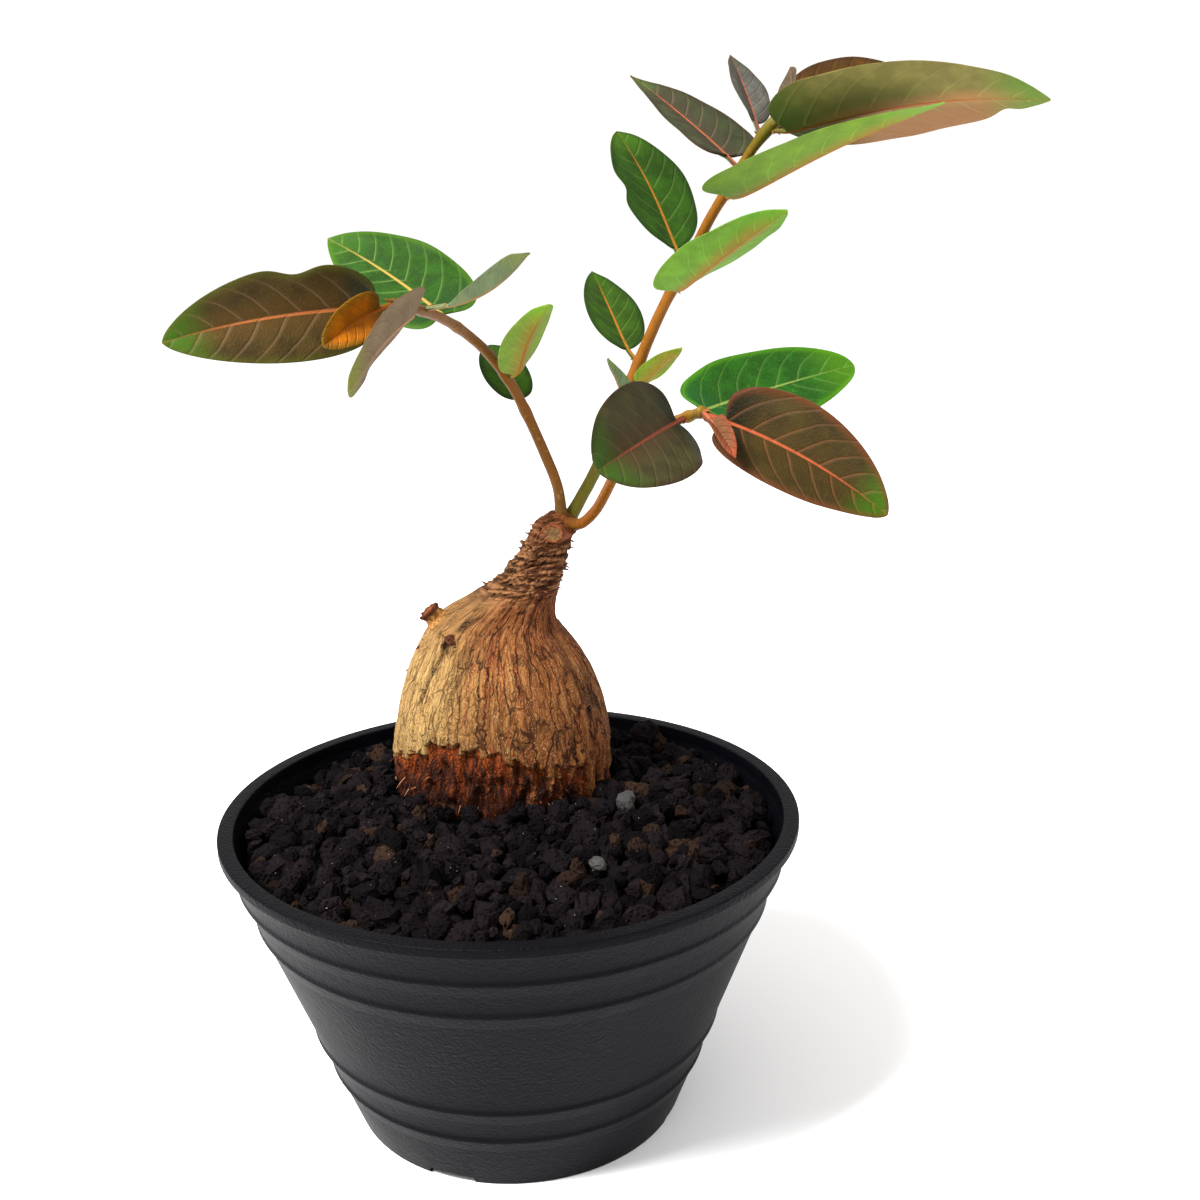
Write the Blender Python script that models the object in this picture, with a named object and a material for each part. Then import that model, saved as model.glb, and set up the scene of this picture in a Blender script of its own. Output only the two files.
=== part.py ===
"""Potted phyllanthus: a swollen trunk with three leafy shoots in a black pot of lava grit.

Metres, +Z up. The origin is on the floor under the centre of the pot, the side that the plant
shows best faces -Y, and the trunk's neck leans towards +X. Tables and named sizes are in
millimetres and are multiplied by MM where they are used.
"""

import math
import random
from dataclasses import dataclass

import bpy
import numpy as np
from mathutils import Matrix, Vector
from mathutils.geometry import delaunay_2d_cdt

MM = 0.001
GAP = 0.3  # clearance between pieces that touch

POT_HEIGHT = 66
POT_RIM_RADIUS = 60
POT_MOUTH_RADIUS = 56.8
POT_NECK_RADIUS = 59  # wall just under the lip
POT_FOOT_RADIUS = 35.2
POT_LIP_HEIGHT = 2
POT_WALL = 1.9  # measured level, through the sloping wall
POT_RECESS = 2  # height of the underside above the foot ring
POT_FLOOR = 1.8
POT_FOOT_RING_WIDTH = 3.4
POT_PAD_RADIUS = 6  # moulded pad in the middle of the underside
POT_RIBS = (57, 48.8, 21.7, 13.5)  # heights of their crests
RIB_RISE = 0.55
RIB_BEVEL = 0.9
RIB_SLOPE = 3
NOTCH_WIDTH = 9.7
NOTCH_HEIGHT = 1.5
NOTCH_TURN = -108.7  # degrees from +X of the notch that shows at the front
HOLE_RADIUS = 3.5
HOLE_CIRCLE = 19
POT_SIDES = 48

SOIL_RIM_LEVEL = 60.6  # where the grit meets the wall
SOIL_MOUND = 4.5  # rise towards the trunk
STONE_PITCH = 6.6
STONE_SHAKE = 1.2  # how far a stone lies from its place in an even grid
STONE_HEIGHT = 2.4
STONE_TILT = 0.7  # drop of a stone's top towards its low side
STONE_SEED = 11
VALLEY = 1.4  # depth between stones, under the mean level
WALL_MARGIN = 2.6  # least distance of a stone's middle from the wall, and from the trunk
TALL_STONES = ((28.5, 43, 68.5), (-14, -32, 66.5), (37, -20, 66))  # x, y, top

# Centre x, y, z, lean in degrees towards +X, and radius, from the root tip to the crown.
TRUNK = (
    (-3.4, 19, 30, 0, 2.0),
    (-3.4, 19, 36, 0, 4.5),
    (-3.4, 19, 43, 0, 9.5),
    (-3.3, 19, 50, 0, 17.0),
    (-3.3, 19, 57, 0, 21.8),
    (-3.2, 19, 64, 0, 23.6),
    (-3.0, 19, 73, 0, 24.1),
    (-2.9, 19, 81, 0, 23.0),
    (-3.0, 19, 86, 0, 21.7),
    (-3.0, 19, 91, 1, 19.8),
    (-2.9, 19, 96, 3, 17.1),
    (-2.7, 19, 99.3, 6, 14.8),
    (-2.0, 19, 101.5, 10, 12.5),
    (-0.5, 18.8, 103.8, 12, 10.2),
    (1.4, 18.5, 106.4, 14, 8.2),
    (4.0, 18, 109.9, 16, 6.2),
    (5.3, 17.8, 112.3, 18, 5.7),
    (6.6, 17.5, 114.7, 19, 5.1),
    (8.0, 17.1, 118, 18, 4.5),
    (9.7, 16.8, 121.9, 16, 4.05),
    (12.0, 16.5, 123.4, 45, 3.0),
)
ROOT_PLACE = TRUNK[4][:2]  # where the trunk stands in the grit
CROWN_FACING = (math.sqrt(0.5), 0, math.sqrt(0.5))
TRUNK_SIDES = 36
BULB_RINGS = 20
NECK_RINGS = 16
NECK_SHARE = 0.76  # share of the trunk's length where the ringed neck starts
FURROW = 0.45
NECK_RING_RISE = 0.22
KNOTS = ((-116, 101, 0.9, 2.0), (-60, 88, 0.7, 2.6))  # turn in degrees, z, rise, spread

# Pieces fused to the trunk: a cut shoot on its left shoulder and a healed scar on its neck.
# Foot, end and radius.
TRUNK_STUBS = (
    ((-14.0, 17.6, 98.0), (-18.6, 16.8, 104.4), 1.9),
    ((10.0, 14.6, 121.2), (9.0, 12.3, 121.9), 2.0),
)

# Centre lines of the shoots, from the crown to the growing tip, and radii at foot and tip.
STEMS = {
    "stem_left": (
        (
            (11.2, 16.2, 124.8),
            (10.4, 15.9, 131.2),
            (7.6, 14.5, 139.2),
            (4.9, 12, 146.4),
            (2.0, 8, 153.4),
            (-1.6, 2, 159.8),
            (-5.4, -7, 165.0),
            (-8.3, -18, 168.5),
            (-10.9, -30, 170.9),
            (-13.0, -39, 172.4),
        ),
        1.15,
        0.85,
    ),
    "stem_tall": (
        (
            (12.7, 18.1, 123.4),
            (15.8, 18.4, 128.7),
            (18.8, 17.8, 134.4),
            (21.1, 17.2, 140.2),
            (24.1, 16.5, 147.5),
            (27.0, 16, 154.7),
            (30.9, 15, 163.8),
            (34.3, 14, 170.7),
            (37.8, 13, 176.9),
            (42.0, 11, 185.0),
            (46.2, 9, 191.8),
            (49.2, 7, 196.8),
            (51.8, 5, 200.3),
            (53.6, 4.2, 202.2),
        ),
        1.35,
        0.9,
    ),
    "stem_front": (
        (
            (12.9, 15.1, 123.1),
            (15.6, 11.6, 123.9),
            (18.6, 7, 127.6),
            (20.8, 2, 132.3),
            (24.1, -6, 139.8),
            (28.4, -16, 146.2),
            (32.2, -27, 150.2),
            (35.7, -35, 152.8),
            (37.6, -39, 154.0),
        ),
        1.15,
        0.85,
    ),
}
STEM_SIDES = 8
STEM_RINGS = 16
NODE_SWELL = 0.12  # share of the radius that a stem gains where a leaf joins it

LEAF_THICKNESS = 0.7
RIB_DEPTH = 0.35
PETIOLE_LENGTH = 2.9
PETIOLE_HALF = 0.55
PETIOLE_SINK = 0.3  # what its turned end still needs beyond the gap
BLADE_ROWS = (0, 0.015, 0.05, 0.12, 0.23, 0.36, 0.5, 0.64, 0.78, 0.9, 1)
BLADE_COLUMNS = (-1, -0.5, 0, 0.5, 1)


@dataclass
class Leaf:
    """One leaf: where it joins its stem, where its tip is, and how its blade is shaped."""

    name: str
    stem: str
    along: float  # share of the stem's length
    tip: tuple
    width: float
    facing: tuple  # roughly the way its upper face looks
    fold: float = 10  # degrees that each half rises from flat
    bow: float = 0.05  # rise of the midrib's middle, as a share of its length
    sway: float = 0.0  # bend of the midrib to the leaf's right, as a share of its length
    lobe: float = 0.0  # reach of the blade's corners behind its foot, as a share of their width
    uneven: float = 0.0  # share by which its right half is wider than the mean of both
    twist: float = 0.0  # degrees from foot to tip
    base: float = 0.45  # below 0.5 the foot of the blade is round
    point: float = 0.8  # above 1 the tip is drawn out
    side: tuple = ()  # way from the stem to the foot, where that isn't towards the tip
    dents: tuple = ()  # side, place along, depth as a share of the half width, spread
    colour: str = "leaf_green"


LEAVES = (
    Leaf("leaf_left_1", "stem_left", 0.97, (-48.5, -49, 167.5), 16, (0.35, -0.93, 0.12),
         fold=16, bow=0.03, sway=0.035, base=0.4, point=0.7, lobe=0.3,
         dents=((1, 0.36, 0.2, 0.09),), colour="leaf_bronze"),
    Leaf("leaf_left_2", "stem_left", 0.64, (-33.5, 13, 181.5), 19.5, (0, -0.55, 0.84),
         fold=3, bow=0, sway=0.03, twist=17, uneven=0.1, base=0.35, point=0.75, lobe=0.6),
    Leaf("leaf_left_3", "stem_left", 0.85, (9, -37, 180), 8, (-0.33, 0.25, 0.9),
         fold=27, bow=-0.09, sway=-0.03, base=0.85, point=0.45, colour="leaf_pale"),
    Leaf("leaf_left_4", "stem_left", 0.95, (-17, -61, 161), 15.5, (-0.77, 0, 0.63),
         side=(0.8, 0, -0.6), fold=7, bow=0.02, sway=-0.11, twist=-20, base=0.4, point=0.45,
         colour="leaf_pale"),
    Leaf("leaf_left_5", "stem_left", 1.0, (-22, -53, 167), 8, (0.85, -0.5, 0.2),
         fold=24, bow=0.03, sway=0.05, twist=-18, base=0.3, point=0.55, lobe=0.3,
         colour="leaf_young"),
    Leaf("leaf_left_6", "stem_left", 0.39, (11, -13, 170), 10.5, (-0.53, 0.36, 0.77),
         fold=17, bow=-0.01, sway=0.065, twist=8, base=0.42, point=0.5, lobe=0.1,
         colour="leaf_pale"),
    Leaf("leaf_left_7", "stem_left", 0.28, (-3.5, 26.5, 159), 10, (0.2, -0.58, 0.79),
         fold=8, bow=0, base=0.4, point=0.5, lobe=0.2),
    Leaf("leaf_tall_1", "stem_tall", 0.4, (18, 33, 173.5), 13, (0.34, -0.58, 0.74),
         fold=13, bow=0, base=0.57, point=0.85, lobe=0.15),
    Leaf("leaf_tall_2", "stem_tall", 0.35, (36, 6.5, 160), 7.5, (-0.3, 0.5, 0.82),
         fold=10, bow=0, sway=0.035, twist=9, base=0.32, point=0.8, colour="leaf_pale"),
    Leaf("leaf_tall_3", "stem_tall", 0.58, (54, -12, 186), 18, (-0.38, 0.27, 0.89),
         fold=13, bow=-0.01, sway=0.06, twist=25, base=0.35, point=0.73, lobe=0.2,
         colour="leaf_pale"),
    Leaf("leaf_tall_4", "stem_tall", 0.64, (23.5, 31, 201.5), 17, (0.43, -0.63, 0.65),
         fold=10, bow=0, sway=0.045, twist=6, base=0.58, point=0.7,
         dents=((-1, 0.5, 0.2, 0.1),)),
    Leaf("leaf_tall_5", "stem_tall", 0.81, (80, -17, 203.5), 24, (-0.3, 0.17, 0.94),
         fold=13, bow=0, sway=0.1, twist=5, uneven=0.05, base=0.36, point=1.15, lobe=0.15,
         colour="leaf_pale"),
    Leaf("leaf_tall_6", "stem_tall", 0.87, (26.5, 28, 212), 17, (0.34, -0.44, 0.83),
         fold=15, bow=-0.02, sway=0.07, twist=15, base=0.33, point=1.1, lobe=0.3,
         colour="leaf_bronze"),
    Leaf("leaf_tall_7", "stem_tall", 0.98, (97.5, -19, 203.5), 26.5, (0.1, 0.35, 0.93),
         fold=6, bow=0.02, sway=0.075, twist=11, base=0.35, point=0.82, lobe=0.1,
         dents=((-1, 0.85, 0.3, 0.04),), colour="leaf_bronze"),
    Leaf("leaf_tall_8", "stem_tall", 0.97, (82, 31, 212), 17, (0.28, -0.62, 0.73),
         fold=12, bow=0, sway=-0.02, twist=-4, base=0.65, point=0.72, colour="leaf_bronze"),
    Leaf("leaf_tall_9", "stem_tall", 0.95, (46, 22, 215), 8.5, (0.53, -0.33, 0.78),
         fold=21, bow=-0.01, sway=0.04, twist=17, base=0.5, point=0.85, lobe=0.1,
         colour="leaf_bronze"),
    Leaf("leaf_tall_10", "stem_tall", 1.0, (57, 14, 212), 5.5, (-0.78, -0.4, 0.45),
         fold=25, bow=-0.07, sway=0.05, base=0.4, point=0.7, colour="leaf_young"),
    Leaf("leaf_front_1", "stem_front", 1.0, (67, -50, 138.5), 17, (-0.08, -0.86, 0.5),
         fold=24, bow=0.03, sway=-0.04, twist=-7, base=0.37, point=0.7, lobe=0.4,
         colour="leaf_bronze"),
    Leaf("leaf_front_2", "stem_front", 0.93, (20.5, -67, 149.5), 18.5, (0.7, -0.36, 0.63),
         fold=16, bow=0.045, base=0.4, point=0.43, lobe=0.4, colour="leaf_bronze"),
    Leaf("leaf_front_3", "stem_front", 0.92, (66.5, -14, 158.5), 19, (0.13, -0.46, 0.88),
         fold=6, bow=-0.075, sway=-0.095, twist=-8, base=0.31, point=0.5, lobe=0.25),
    Leaf("leaf_front_4", "stem_front", 1.0, (42.3, -51, 148.5), 5, (-0.1, -0.4, 0.91),
         fold=52, bow=0.11, sway=0.03, base=0.5, point=0.85, colour="leaf_young"),
    Leaf("leaf_front_5", "stem_front", 0.59, (21.7, -17, 160.7), 6.2, (0.85, 0.35, 0.38),
         fold=22, bow=0, sway=-0.065, twist=-14, base=0.55, point=0.87, lobe=0.3,
         colour="leaf_pale"),
)

COLOURS = {  # base colour and roughness
    "pot_plastic": ((0.018, 0.019, 0.022), 0.5),
    "lava_grit": ((0.025, 0.021, 0.019), 0.9),
    "bark": ((0.36, 0.22, 0.10), 0.8),
    "stem_bark": ((0.40, 0.15, 0.02), 0.6),
    "leaf_green": ((0.04, 0.15, 0.03), 0.5),
    "leaf_bronze": ((0.10, 0.07, 0.03), 0.5),
    "leaf_pale": ((0.17, 0.30, 0.09), 0.6),
    "leaf_young": ((0.45, 0.14, 0.04), 0.6),
}


def clear_scene():
    for obj in list(bpy.data.objects):
        bpy.data.objects.remove(obj, do_unlink=True)


def material(name):
    """The Principled material of that name, made the first time that it is asked for."""
    found = bpy.data.materials.get(name)
    if found:
        return found
    colour, roughness = COLOURS[name]
    made = bpy.data.materials.new(name)
    made.use_nodes = True
    shader = made.node_tree.nodes["Principled BSDF"]
    shader.inputs["Base Color"].default_value = (*colour, 1)
    shader.inputs["Roughness"].default_value = roughness
    shader.inputs["Metallic"].default_value = 0
    return made


def add_object(name, points, faces, slot, edges=()):
    """A mesh object from points in millimetres."""
    mesh = bpy.data.meshes.new(name)
    mesh.from_pydata((np.asarray(points, float) * MM).tolist(), edges, faces)
    mesh.materials.append(material(slot))
    mesh.shade_smooth()
    mesh.set_sharp_from_angle(angle=math.radians(40))
    obj = bpy.data.objects.new(name, mesh)
    bpy.context.scene.collection.objects.link(obj)
    return obj


def polar(radius, degrees, z):
    """A point on a circle round the origin."""
    turn = math.radians(degrees)
    return (radius * math.cos(turn), radius * math.sin(turn), z)


def through(rows, shares):
    """Rows of a Catmull-Rom curve through the given rows, at shares of its length in x, y, z."""
    rows = np.array(rows, float)
    ends = np.vstack([2 * rows[0] - rows[1], rows, 2 * rows[-1] - rows[-2]])
    t = np.linspace(0, 1, 12, endpoint=False)[:, None]
    fine = []
    for a, b, c, d in zip(ends, ends[1:], ends[2:], ends[3:]):
        fine.append(0.5 * (2 * b + (c - a) * t + (2 * a - 5 * b + 4 * c - d) * t**2
                           + (3 * b - a - 3 * c + d) * t**3))
    fine = np.vstack(fine + [rows[-1:]])
    steps = np.linalg.norm(np.diff(fine[:, :3], axis=0), axis=1)
    length = np.concatenate([[0], np.cumsum(steps)])
    wanted = np.asarray(shares) * length[-1]
    return np.stack([np.interp(wanted, length, column) for column in fine.T], axis=1)


def unit(vectors):
    return vectors / np.linalg.norm(vectors, axis=-1, keepdims=True)


def skin(rings):
    """Faces of a closed tube through rings with the same number of points."""
    count, sides = len(rings), len(rings[0])
    faces = [tuple(range(sides))[::-1]]
    for i in range(count - 1):
        for k in range(sides):
            near, far = i * sides, (i + 1) * sides
            after = (k + 1) % sides
            faces.append((near + k, near + after, far + after, far + k))
    faces.append(tuple((count - 1) * sides + k for k in range(sides)))
    return faces


def wall_radius(z):
    """The pot's outer wall at a height, without its ribs."""
    slope = (POT_NECK_RADIUS - POT_FOOT_RADIUS) / (POT_HEIGHT - POT_LIP_HEIGHT)
    return POT_FOOT_RADIUS + slope * z


def inside_radius(z):
    """The pot's inner wall: it follows the outer one, and stands straight under the rim."""
    return min(wall_radius(z) - POT_WALL, POT_MOUTH_RADIUS)


def pot_profile():
    """Half section of the pot, from the middle of its floor, over the rim, to its underside."""
    floor = POT_RECESS + POT_FLOOR
    under_lip = POT_HEIGHT - POT_LIP_HEIGHT
    straight = (POT_MOUTH_RADIUS + POT_WALL - POT_FOOT_RADIUS) / (wall_radius(1) - wall_radius(0))
    points = [
        (0, floor),
        (inside_radius(floor) - 1, floor),
        (inside_radius(floor + 1), floor + 1),
        (POT_MOUTH_RADIUS, straight),
        (POT_MOUTH_RADIUS, POT_HEIGHT - 0.3),
        (POT_MOUTH_RADIUS + 0.3, POT_HEIGHT),
        (POT_RIM_RADIUS - 0.6, POT_HEIGHT),
        (POT_RIM_RADIUS, POT_HEIGHT - 0.6),
        (POT_RIM_RADIUS, under_lip + 0.4),
        (POT_RIM_RADIUS - 0.4, under_lip),
        (wall_radius(under_lip), under_lip - 0.1),
    ]
    for crest in POT_RIBS:
        points.append((wall_radius(crest + RIB_BEVEL), crest + RIB_BEVEL))
        points.append((wall_radius(crest) + RIB_RISE, crest))
        points.append((wall_radius(crest - RIB_SLOPE), crest - RIB_SLOPE))
    ring_inside = POT_FOOT_RADIUS - POT_FOOT_RING_WIDTH
    points += [
        (wall_radius(0.6), 0.6),
        (POT_FOOT_RADIUS - 0.5, 0),
        (ring_inside, 0),
        (ring_inside - 0.4, POT_RECESS),
        (POT_PAD_RADIUS + 0.4, POT_RECESS),
        (POT_PAD_RADIUS, 0),
        (0, 0),
    ]
    return points


def notch_and_hole_cutter():
    """Four notches through the foot ring and four drain holes between them, in one mesh."""
    points, faces = [], []

    def add(shape):
        start = len(points)
        points.extend(shape)
        half = len(shape) // 2
        faces.extend(tuple(start + i for i in face) for face in skin([shape[:half], shape[half:]]))

    for quarter in range(4):
        turn = NOTCH_TURN + 90 * quarter
        frame = Matrix.Rotation(math.radians(turn), 3, "Z")
        box = []
        for z in (-1, NOTCH_HEIGHT):
            for x, y in ((1, -1), (1, 1), (-1, 1), (-1, -1)):
                corner = Vector((POT_FOOT_RADIUS - 1 + 5 * x, NOTCH_WIDTH / 2 * y, z))
                box.append(tuple(frame @ corner))
        add(box)
        centre = Vector(polar(HOLE_CIRCLE, turn + 45, 0))
        drum = []
        for z in (-1, POT_RECESS + POT_FLOOR + 1):
            for k in range(16):
                drum.append(tuple(centre + Vector(polar(HOLE_RADIUS, 22.5 * k, z))))
        add(drum)
    cutter = add_object("pot_cutter", points, faces, "pot_plastic")
    cutter.hide_render = True
    cutter.display_type = "WIRE"
    return cutter


def make_pot():
    points = [(r, 0, z) for r, z in pot_profile()]
    edges = [(i, i + 1) for i in range(len(points) - 1)]
    pot = add_object("pot", points, [], "pot_plastic", edges)
    turned = pot.modifiers.new("turned", "SCREW")
    turned.angle = 2 * math.pi
    turned.steps = turned.render_steps = POT_SIDES
    turned.use_merge_vertices = True
    turned.merge_threshold = 0.0001
    cut = pot.modifiers.new("notches_and_holes", "BOOLEAN")
    cut.operation = "DIFFERENCE"
    cut.solver = "EXACT"
    cut.object = notch_and_hole_cutter()


def trunk_rings():
    """The trunk's rings: smooth furrowed bulb, then a neck ringed by old leaf scars."""
    shares = np.concatenate([
        np.linspace(0, NECK_SHARE, BULB_RINGS, endpoint=False),
        np.linspace(NECK_SHARE, 1, NECK_RINGS),
    ])
    turns = np.arange(TRUNK_SIDES) * 2 * math.pi / TRUNK_SIDES
    rings = []
    for i, (x, y, z, lean, radius) in enumerate(through(TRUNK, shares)):
        furrows = np.cos(9 * turns + 2 * np.sin(z / 9)) + 0.6 * np.cos(14 * turns - z / 6)
        depth = FURROW * min(1, radius / 24)
        rise = depth * furrows / 1.6
        if BULB_RINGS < i < BULB_RINGS + NECK_RINGS - 3:
            rise = rise + NECK_RING_RISE * (-1) ** i
        for knot_turn, knot_z, knot_rise, spread in KNOTS:
            away = (turns - math.radians(knot_turn) + math.pi) % (2 * math.pi) - math.pi
            distance = np.hypot(away * radius, z - knot_z)
            rise = rise + knot_rise * np.exp(-((distance / spread) ** 2))
        lean = math.radians(lean)
        level = np.array((math.cos(lean), 0, -math.sin(lean)))
        across = np.array((0, 1, 0))
        out = np.cos(turns)[:, None] * level + np.sin(turns)[:, None] * across
        rings.append(np.array((x, y, z)) + (radius + rise)[:, None] * out)
    return rings


def round_stub(name, foot, end, radius, sides=12):
    """A short round peg from foot to end."""
    foot, end = Vector(foot), Vector(end)
    turn = (end - foot).to_track_quat("Z", "Y")
    rings = []
    for centre in (foot, end):
        ring = [centre + turn @ Vector(polar(radius, 360 * k / sides, 0)) for k in range(sides)]
        rings.append([tuple(point) for point in ring])
    stub = add_object(name, rings[0] + rings[1], skin(rings), "bark")
    stub.hide_render = True
    stub.display_type = "WIRE"
    return stub


def make_trunk():
    rings = trunk_rings()
    trunk = add_object("caudex", np.vstack(rings), skin(rings), "bark")
    for i, (foot, end, radius) in enumerate(TRUNK_STUBS):
        fuse = trunk.modifiers.new(f"stub_{i + 1}", "BOOLEAN")
        fuse.operation = "UNION"
        fuse.solver = "EXACT"
        fuse.object = round_stub(f"stub_shape_{i + 1}", foot, end, radius)


def trunk_radius(z):
    heights = [row[2] for row in TRUNK]
    return float(np.interp(z, heights, [row[4] for row in TRUNK]))


def socket_ring(z, radius):
    """A ring of the trunk's socket in the grit."""
    x, y = ROOT_PLACE
    side = 360 / TRUNK_SIDES
    ring = []
    for k in range(TRUNK_SIDES):
        px, py, _ = polar(radius, side * k, 0)
        ring.append((x + px, y + py, z))
    return ring


def wall_ring(z):
    """A ring of the grit's side, just clear of the pot."""
    side = 360 / POT_SIDES
    return [polar(inside_radius(z) - GAP, side * k, z) for k in range(POT_SIDES)]


def grit_level(x, y):
    """The mean surface: low at the wall, mounded towards the trunk."""
    edge = inside_radius(SOIL_RIM_LEVEL)
    outward = min(1, math.hypot(x, y) / edge)
    return SOIL_RIM_LEVEL + SOIL_MOUND * (1 - outward**2)


def stone_centres(rng, socket):
    """A shaken triangular grid between the wall and the trunk, then the tall stones."""
    centres = [(x, y, top) for x, y, top in TALL_STONES]
    row_pitch = STONE_PITCH * math.sqrt(3) / 2
    reach = int(POT_RIM_RADIUS / row_pitch) + 1
    for row in range(-reach, reach + 1):
        for column in range(-reach, reach + 1):
            x = STONE_PITCH * (column + 0.5 * (row % 2)) + rng.uniform(-STONE_SHAKE, STONE_SHAKE)
            y = row_pitch * row + rng.uniform(-STONE_SHAKE, STONE_SHAKE)
            top = grit_level(x, y) + rng.uniform(0.2, STONE_HEIGHT)
            if math.hypot(x, y) > inside_radius(SOIL_RIM_LEVEL) - WALL_MARGIN:
                continue
            if math.dist((x, y), ROOT_PLACE) < socket + WALL_MARGIN:
                continue
            if any(math.dist((x, y), tall[:2]) < STONE_PITCH for tall in TALL_STONES):
                continue
            centres.append((x, y, top))
    return centres


def stone_points(rng, x, y, top):
    """A small tilted flat on top of a stone and, on a tall one, a ring round its foot."""
    tall = (x, y, top) in TALL_STONES
    pitch = 1.4 * STONE_PITCH if tall else STONE_PITCH
    corners = rng.choice((4, 5, 6))
    tilt = rng.uniform(0, 360)
    points = [(x, y, top)]
    for k in range(corners):
        turn = tilt + 360 * k / corners
        px, py, _ = polar(pitch * rng.uniform(0.26, 0.34), turn, 0)
        drop = STONE_TILT * (0.5 + 0.5 * math.cos(math.radians(turn - tilt)))
        points.append((x + px, y + py, top - drop))
        if tall:
            px, py, _ = polar(pitch * 0.44, turn, 0)
            points.append((x + px, y + py, grit_level(x, y) + 0.5))
    return points


def grit_surface(rng, rim, mouth):
    """Stones as small tilted flats with valleys between them, as points and triangles."""
    socket = math.dist(mouth[0][:2], ROOT_PLACE)
    centres = stone_centres(rng, socket)
    points = rim + mouth
    borders = []
    for start, count in ((0, len(rim)), (len(rim), len(mouth))):
        borders += [(start + k, start + (k + 1) % count) for k in range(count)]
    for x, y, top in centres:
        points += stone_points(rng, x, y, top)
    flat = [Vector(centre[:2]) for centre in centres]
    _, _, cells, _, _, _ = delaunay_2d_cdt(flat, [], [], 0, 0.001)
    for cell in cells:
        x, y = np.mean([flat[i] for i in cell], axis=0)
        if math.dist((x, y), ROOT_PLACE) > socket + WALL_MARGIN / 2:
            if math.hypot(x, y) < inside_radius(SOIL_RIM_LEVEL) - WALL_MARGIN / 2:
                points.append((x, y, grit_level(x, y) - VALLEY))
    flat = [Vector(point[:2]) for point in points]
    made, _, triangles, origins, _, _ = delaunay_2d_cdt(flat, borders, [], 0, 0.001)
    order = [origin[0] for origin in origins]
    kept = []
    for triangle in triangles:
        middle = np.mean([made[i] for i in triangle], axis=0)
        if math.dist(middle, ROOT_PLACE) > socket * math.cos(math.pi / TRUNK_SIDES):
            kept.append(tuple(order[i] for i in triangle))
    return points, kept


def make_soil():
    """The grit as one body: stony top, sides inside the pot, a socket round the trunk."""
    rng = random.Random(STONE_SEED)
    clear = GAP + FURROW + 0.3
    rim = wall_ring(SOIL_RIM_LEVEL)
    mouth = [(x, y, grit_level(x, y) - 0.8)
             for x, y, _ in socket_ring(SOIL_RIM_LEVEL, trunk_radius(70) + clear)]
    points, faces = grit_surface(rng, rim, mouth)

    def ring_below(above, ring, flip):
        start = len(points)
        points.extend(ring)
        count = len(ring)
        for k in range(count):
            after = (k + 1) % count
            face = (above + k, start + k, start + after, above + after)
            faces.append(face[::-1] if flip else face)
        return start

    bottom = POT_RECESS + POT_FLOOR + GAP
    wall_start = ring_below(0, wall_ring(bottom + 1), flip=False)
    foot = [polar(inside_radius(bottom) - 1 - GAP, 360 / POT_SIDES * k, bottom)
            for k in range(POT_SIDES)]
    wall_start = ring_below(wall_start, foot, flip=False)
    faces.append(tuple(wall_start + k for k in range(POT_SIDES))[::-1])
    above = len(rim)
    for x, y, z, lean, radius in TRUNK[4::-1]:
        above = ring_below(above, socket_ring(z - GAP, radius + clear), flip=True)
    faces.append(tuple(above + k for k in range(TRUNK_SIDES)))
    add_object("soil", points, faces, "lava_grit")


def stem_shape(name):
    """Centre line, unit tangents and radii of a stem, at evenly spaced shares."""
    line, foot_radius, tip_radius = STEMS[name]
    shares = np.linspace(0, 1, STEM_RINGS)
    centres = through(line, shares)
    tangents = unit(np.gradient(centres, axis=0))
    tangents[0] = CROWN_FACING
    radii = foot_radius + (tip_radius - foot_radius) * shares
    for leaf in LEAVES:
        if leaf.stem == name:
            radii = radii * (1 + NODE_SWELL * np.exp(-(((shares - leaf.along) / 0.03) ** 2)))
    return centres, tangents, radii


def make_stem(name):
    centres, tangents, radii = stem_shape(name)
    turns = np.arange(STEM_SIDES) * 2 * math.pi / STEM_SIDES
    side = np.array((1.0, 0, 0))
    rings = []
    for centre, tangent, radius in zip(centres, tangents, radii):
        side = unit(side - (side @ tangent) * tangent)
        front = np.cross(tangent, side)
        ring = np.cos(turns)[:, None] * side + np.sin(turns)[:, None] * front
        rings.append(centre + radius * ring)
    add_object(name, np.vstack(rings), skin(rings), "stem_bark")


def leaf_foot(leaf):
    """Where the petiole starts on the stem's surface, and the way it stands off there."""
    centres, tangents, radii = stem_shape(leaf.stem)
    shares = np.linspace(0, 1, STEM_RINGS)
    centre = np.array([np.interp(leaf.along, shares, column) for column in centres.T])
    tangent = unit(np.array([np.interp(leaf.along, shares, column) for column in tangents.T]))
    radius = float(np.interp(leaf.along, shares, radii))
    away = np.array(leaf.side or np.array(leaf.tip) - centre)
    if leaf.along < 1:
        away = away - (away @ tangent) * tangent
    away = unit(away)
    surface = radius * float(np.linalg.norm(np.cross(away, tangent)))
    return centre + away * (surface + GAP + PETIOLE_SINK), away


def blade_half(leaf, share, side):
    """Half width of the blade at shares from its foot to its tip, on one side."""
    peak = leaf.base / (leaf.base + leaf.point)
    top = peak**leaf.base * (1 - peak) ** leaf.point
    half = 0.5 * leaf.width * share**leaf.base * (1 - share) ** leaf.point / top
    half = half * (1 + side * leaf.uneven)
    for dent_side, place, depth, spread in leaf.dents:
        if dent_side == side:
            half = half * (1 - depth * np.exp(-(((share - place) / spread) ** 2)))
    return np.maximum(half, 0.6 * PETIOLE_HALF + 0.4 * PETIOLE_HALF * (share < 0.01))


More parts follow.
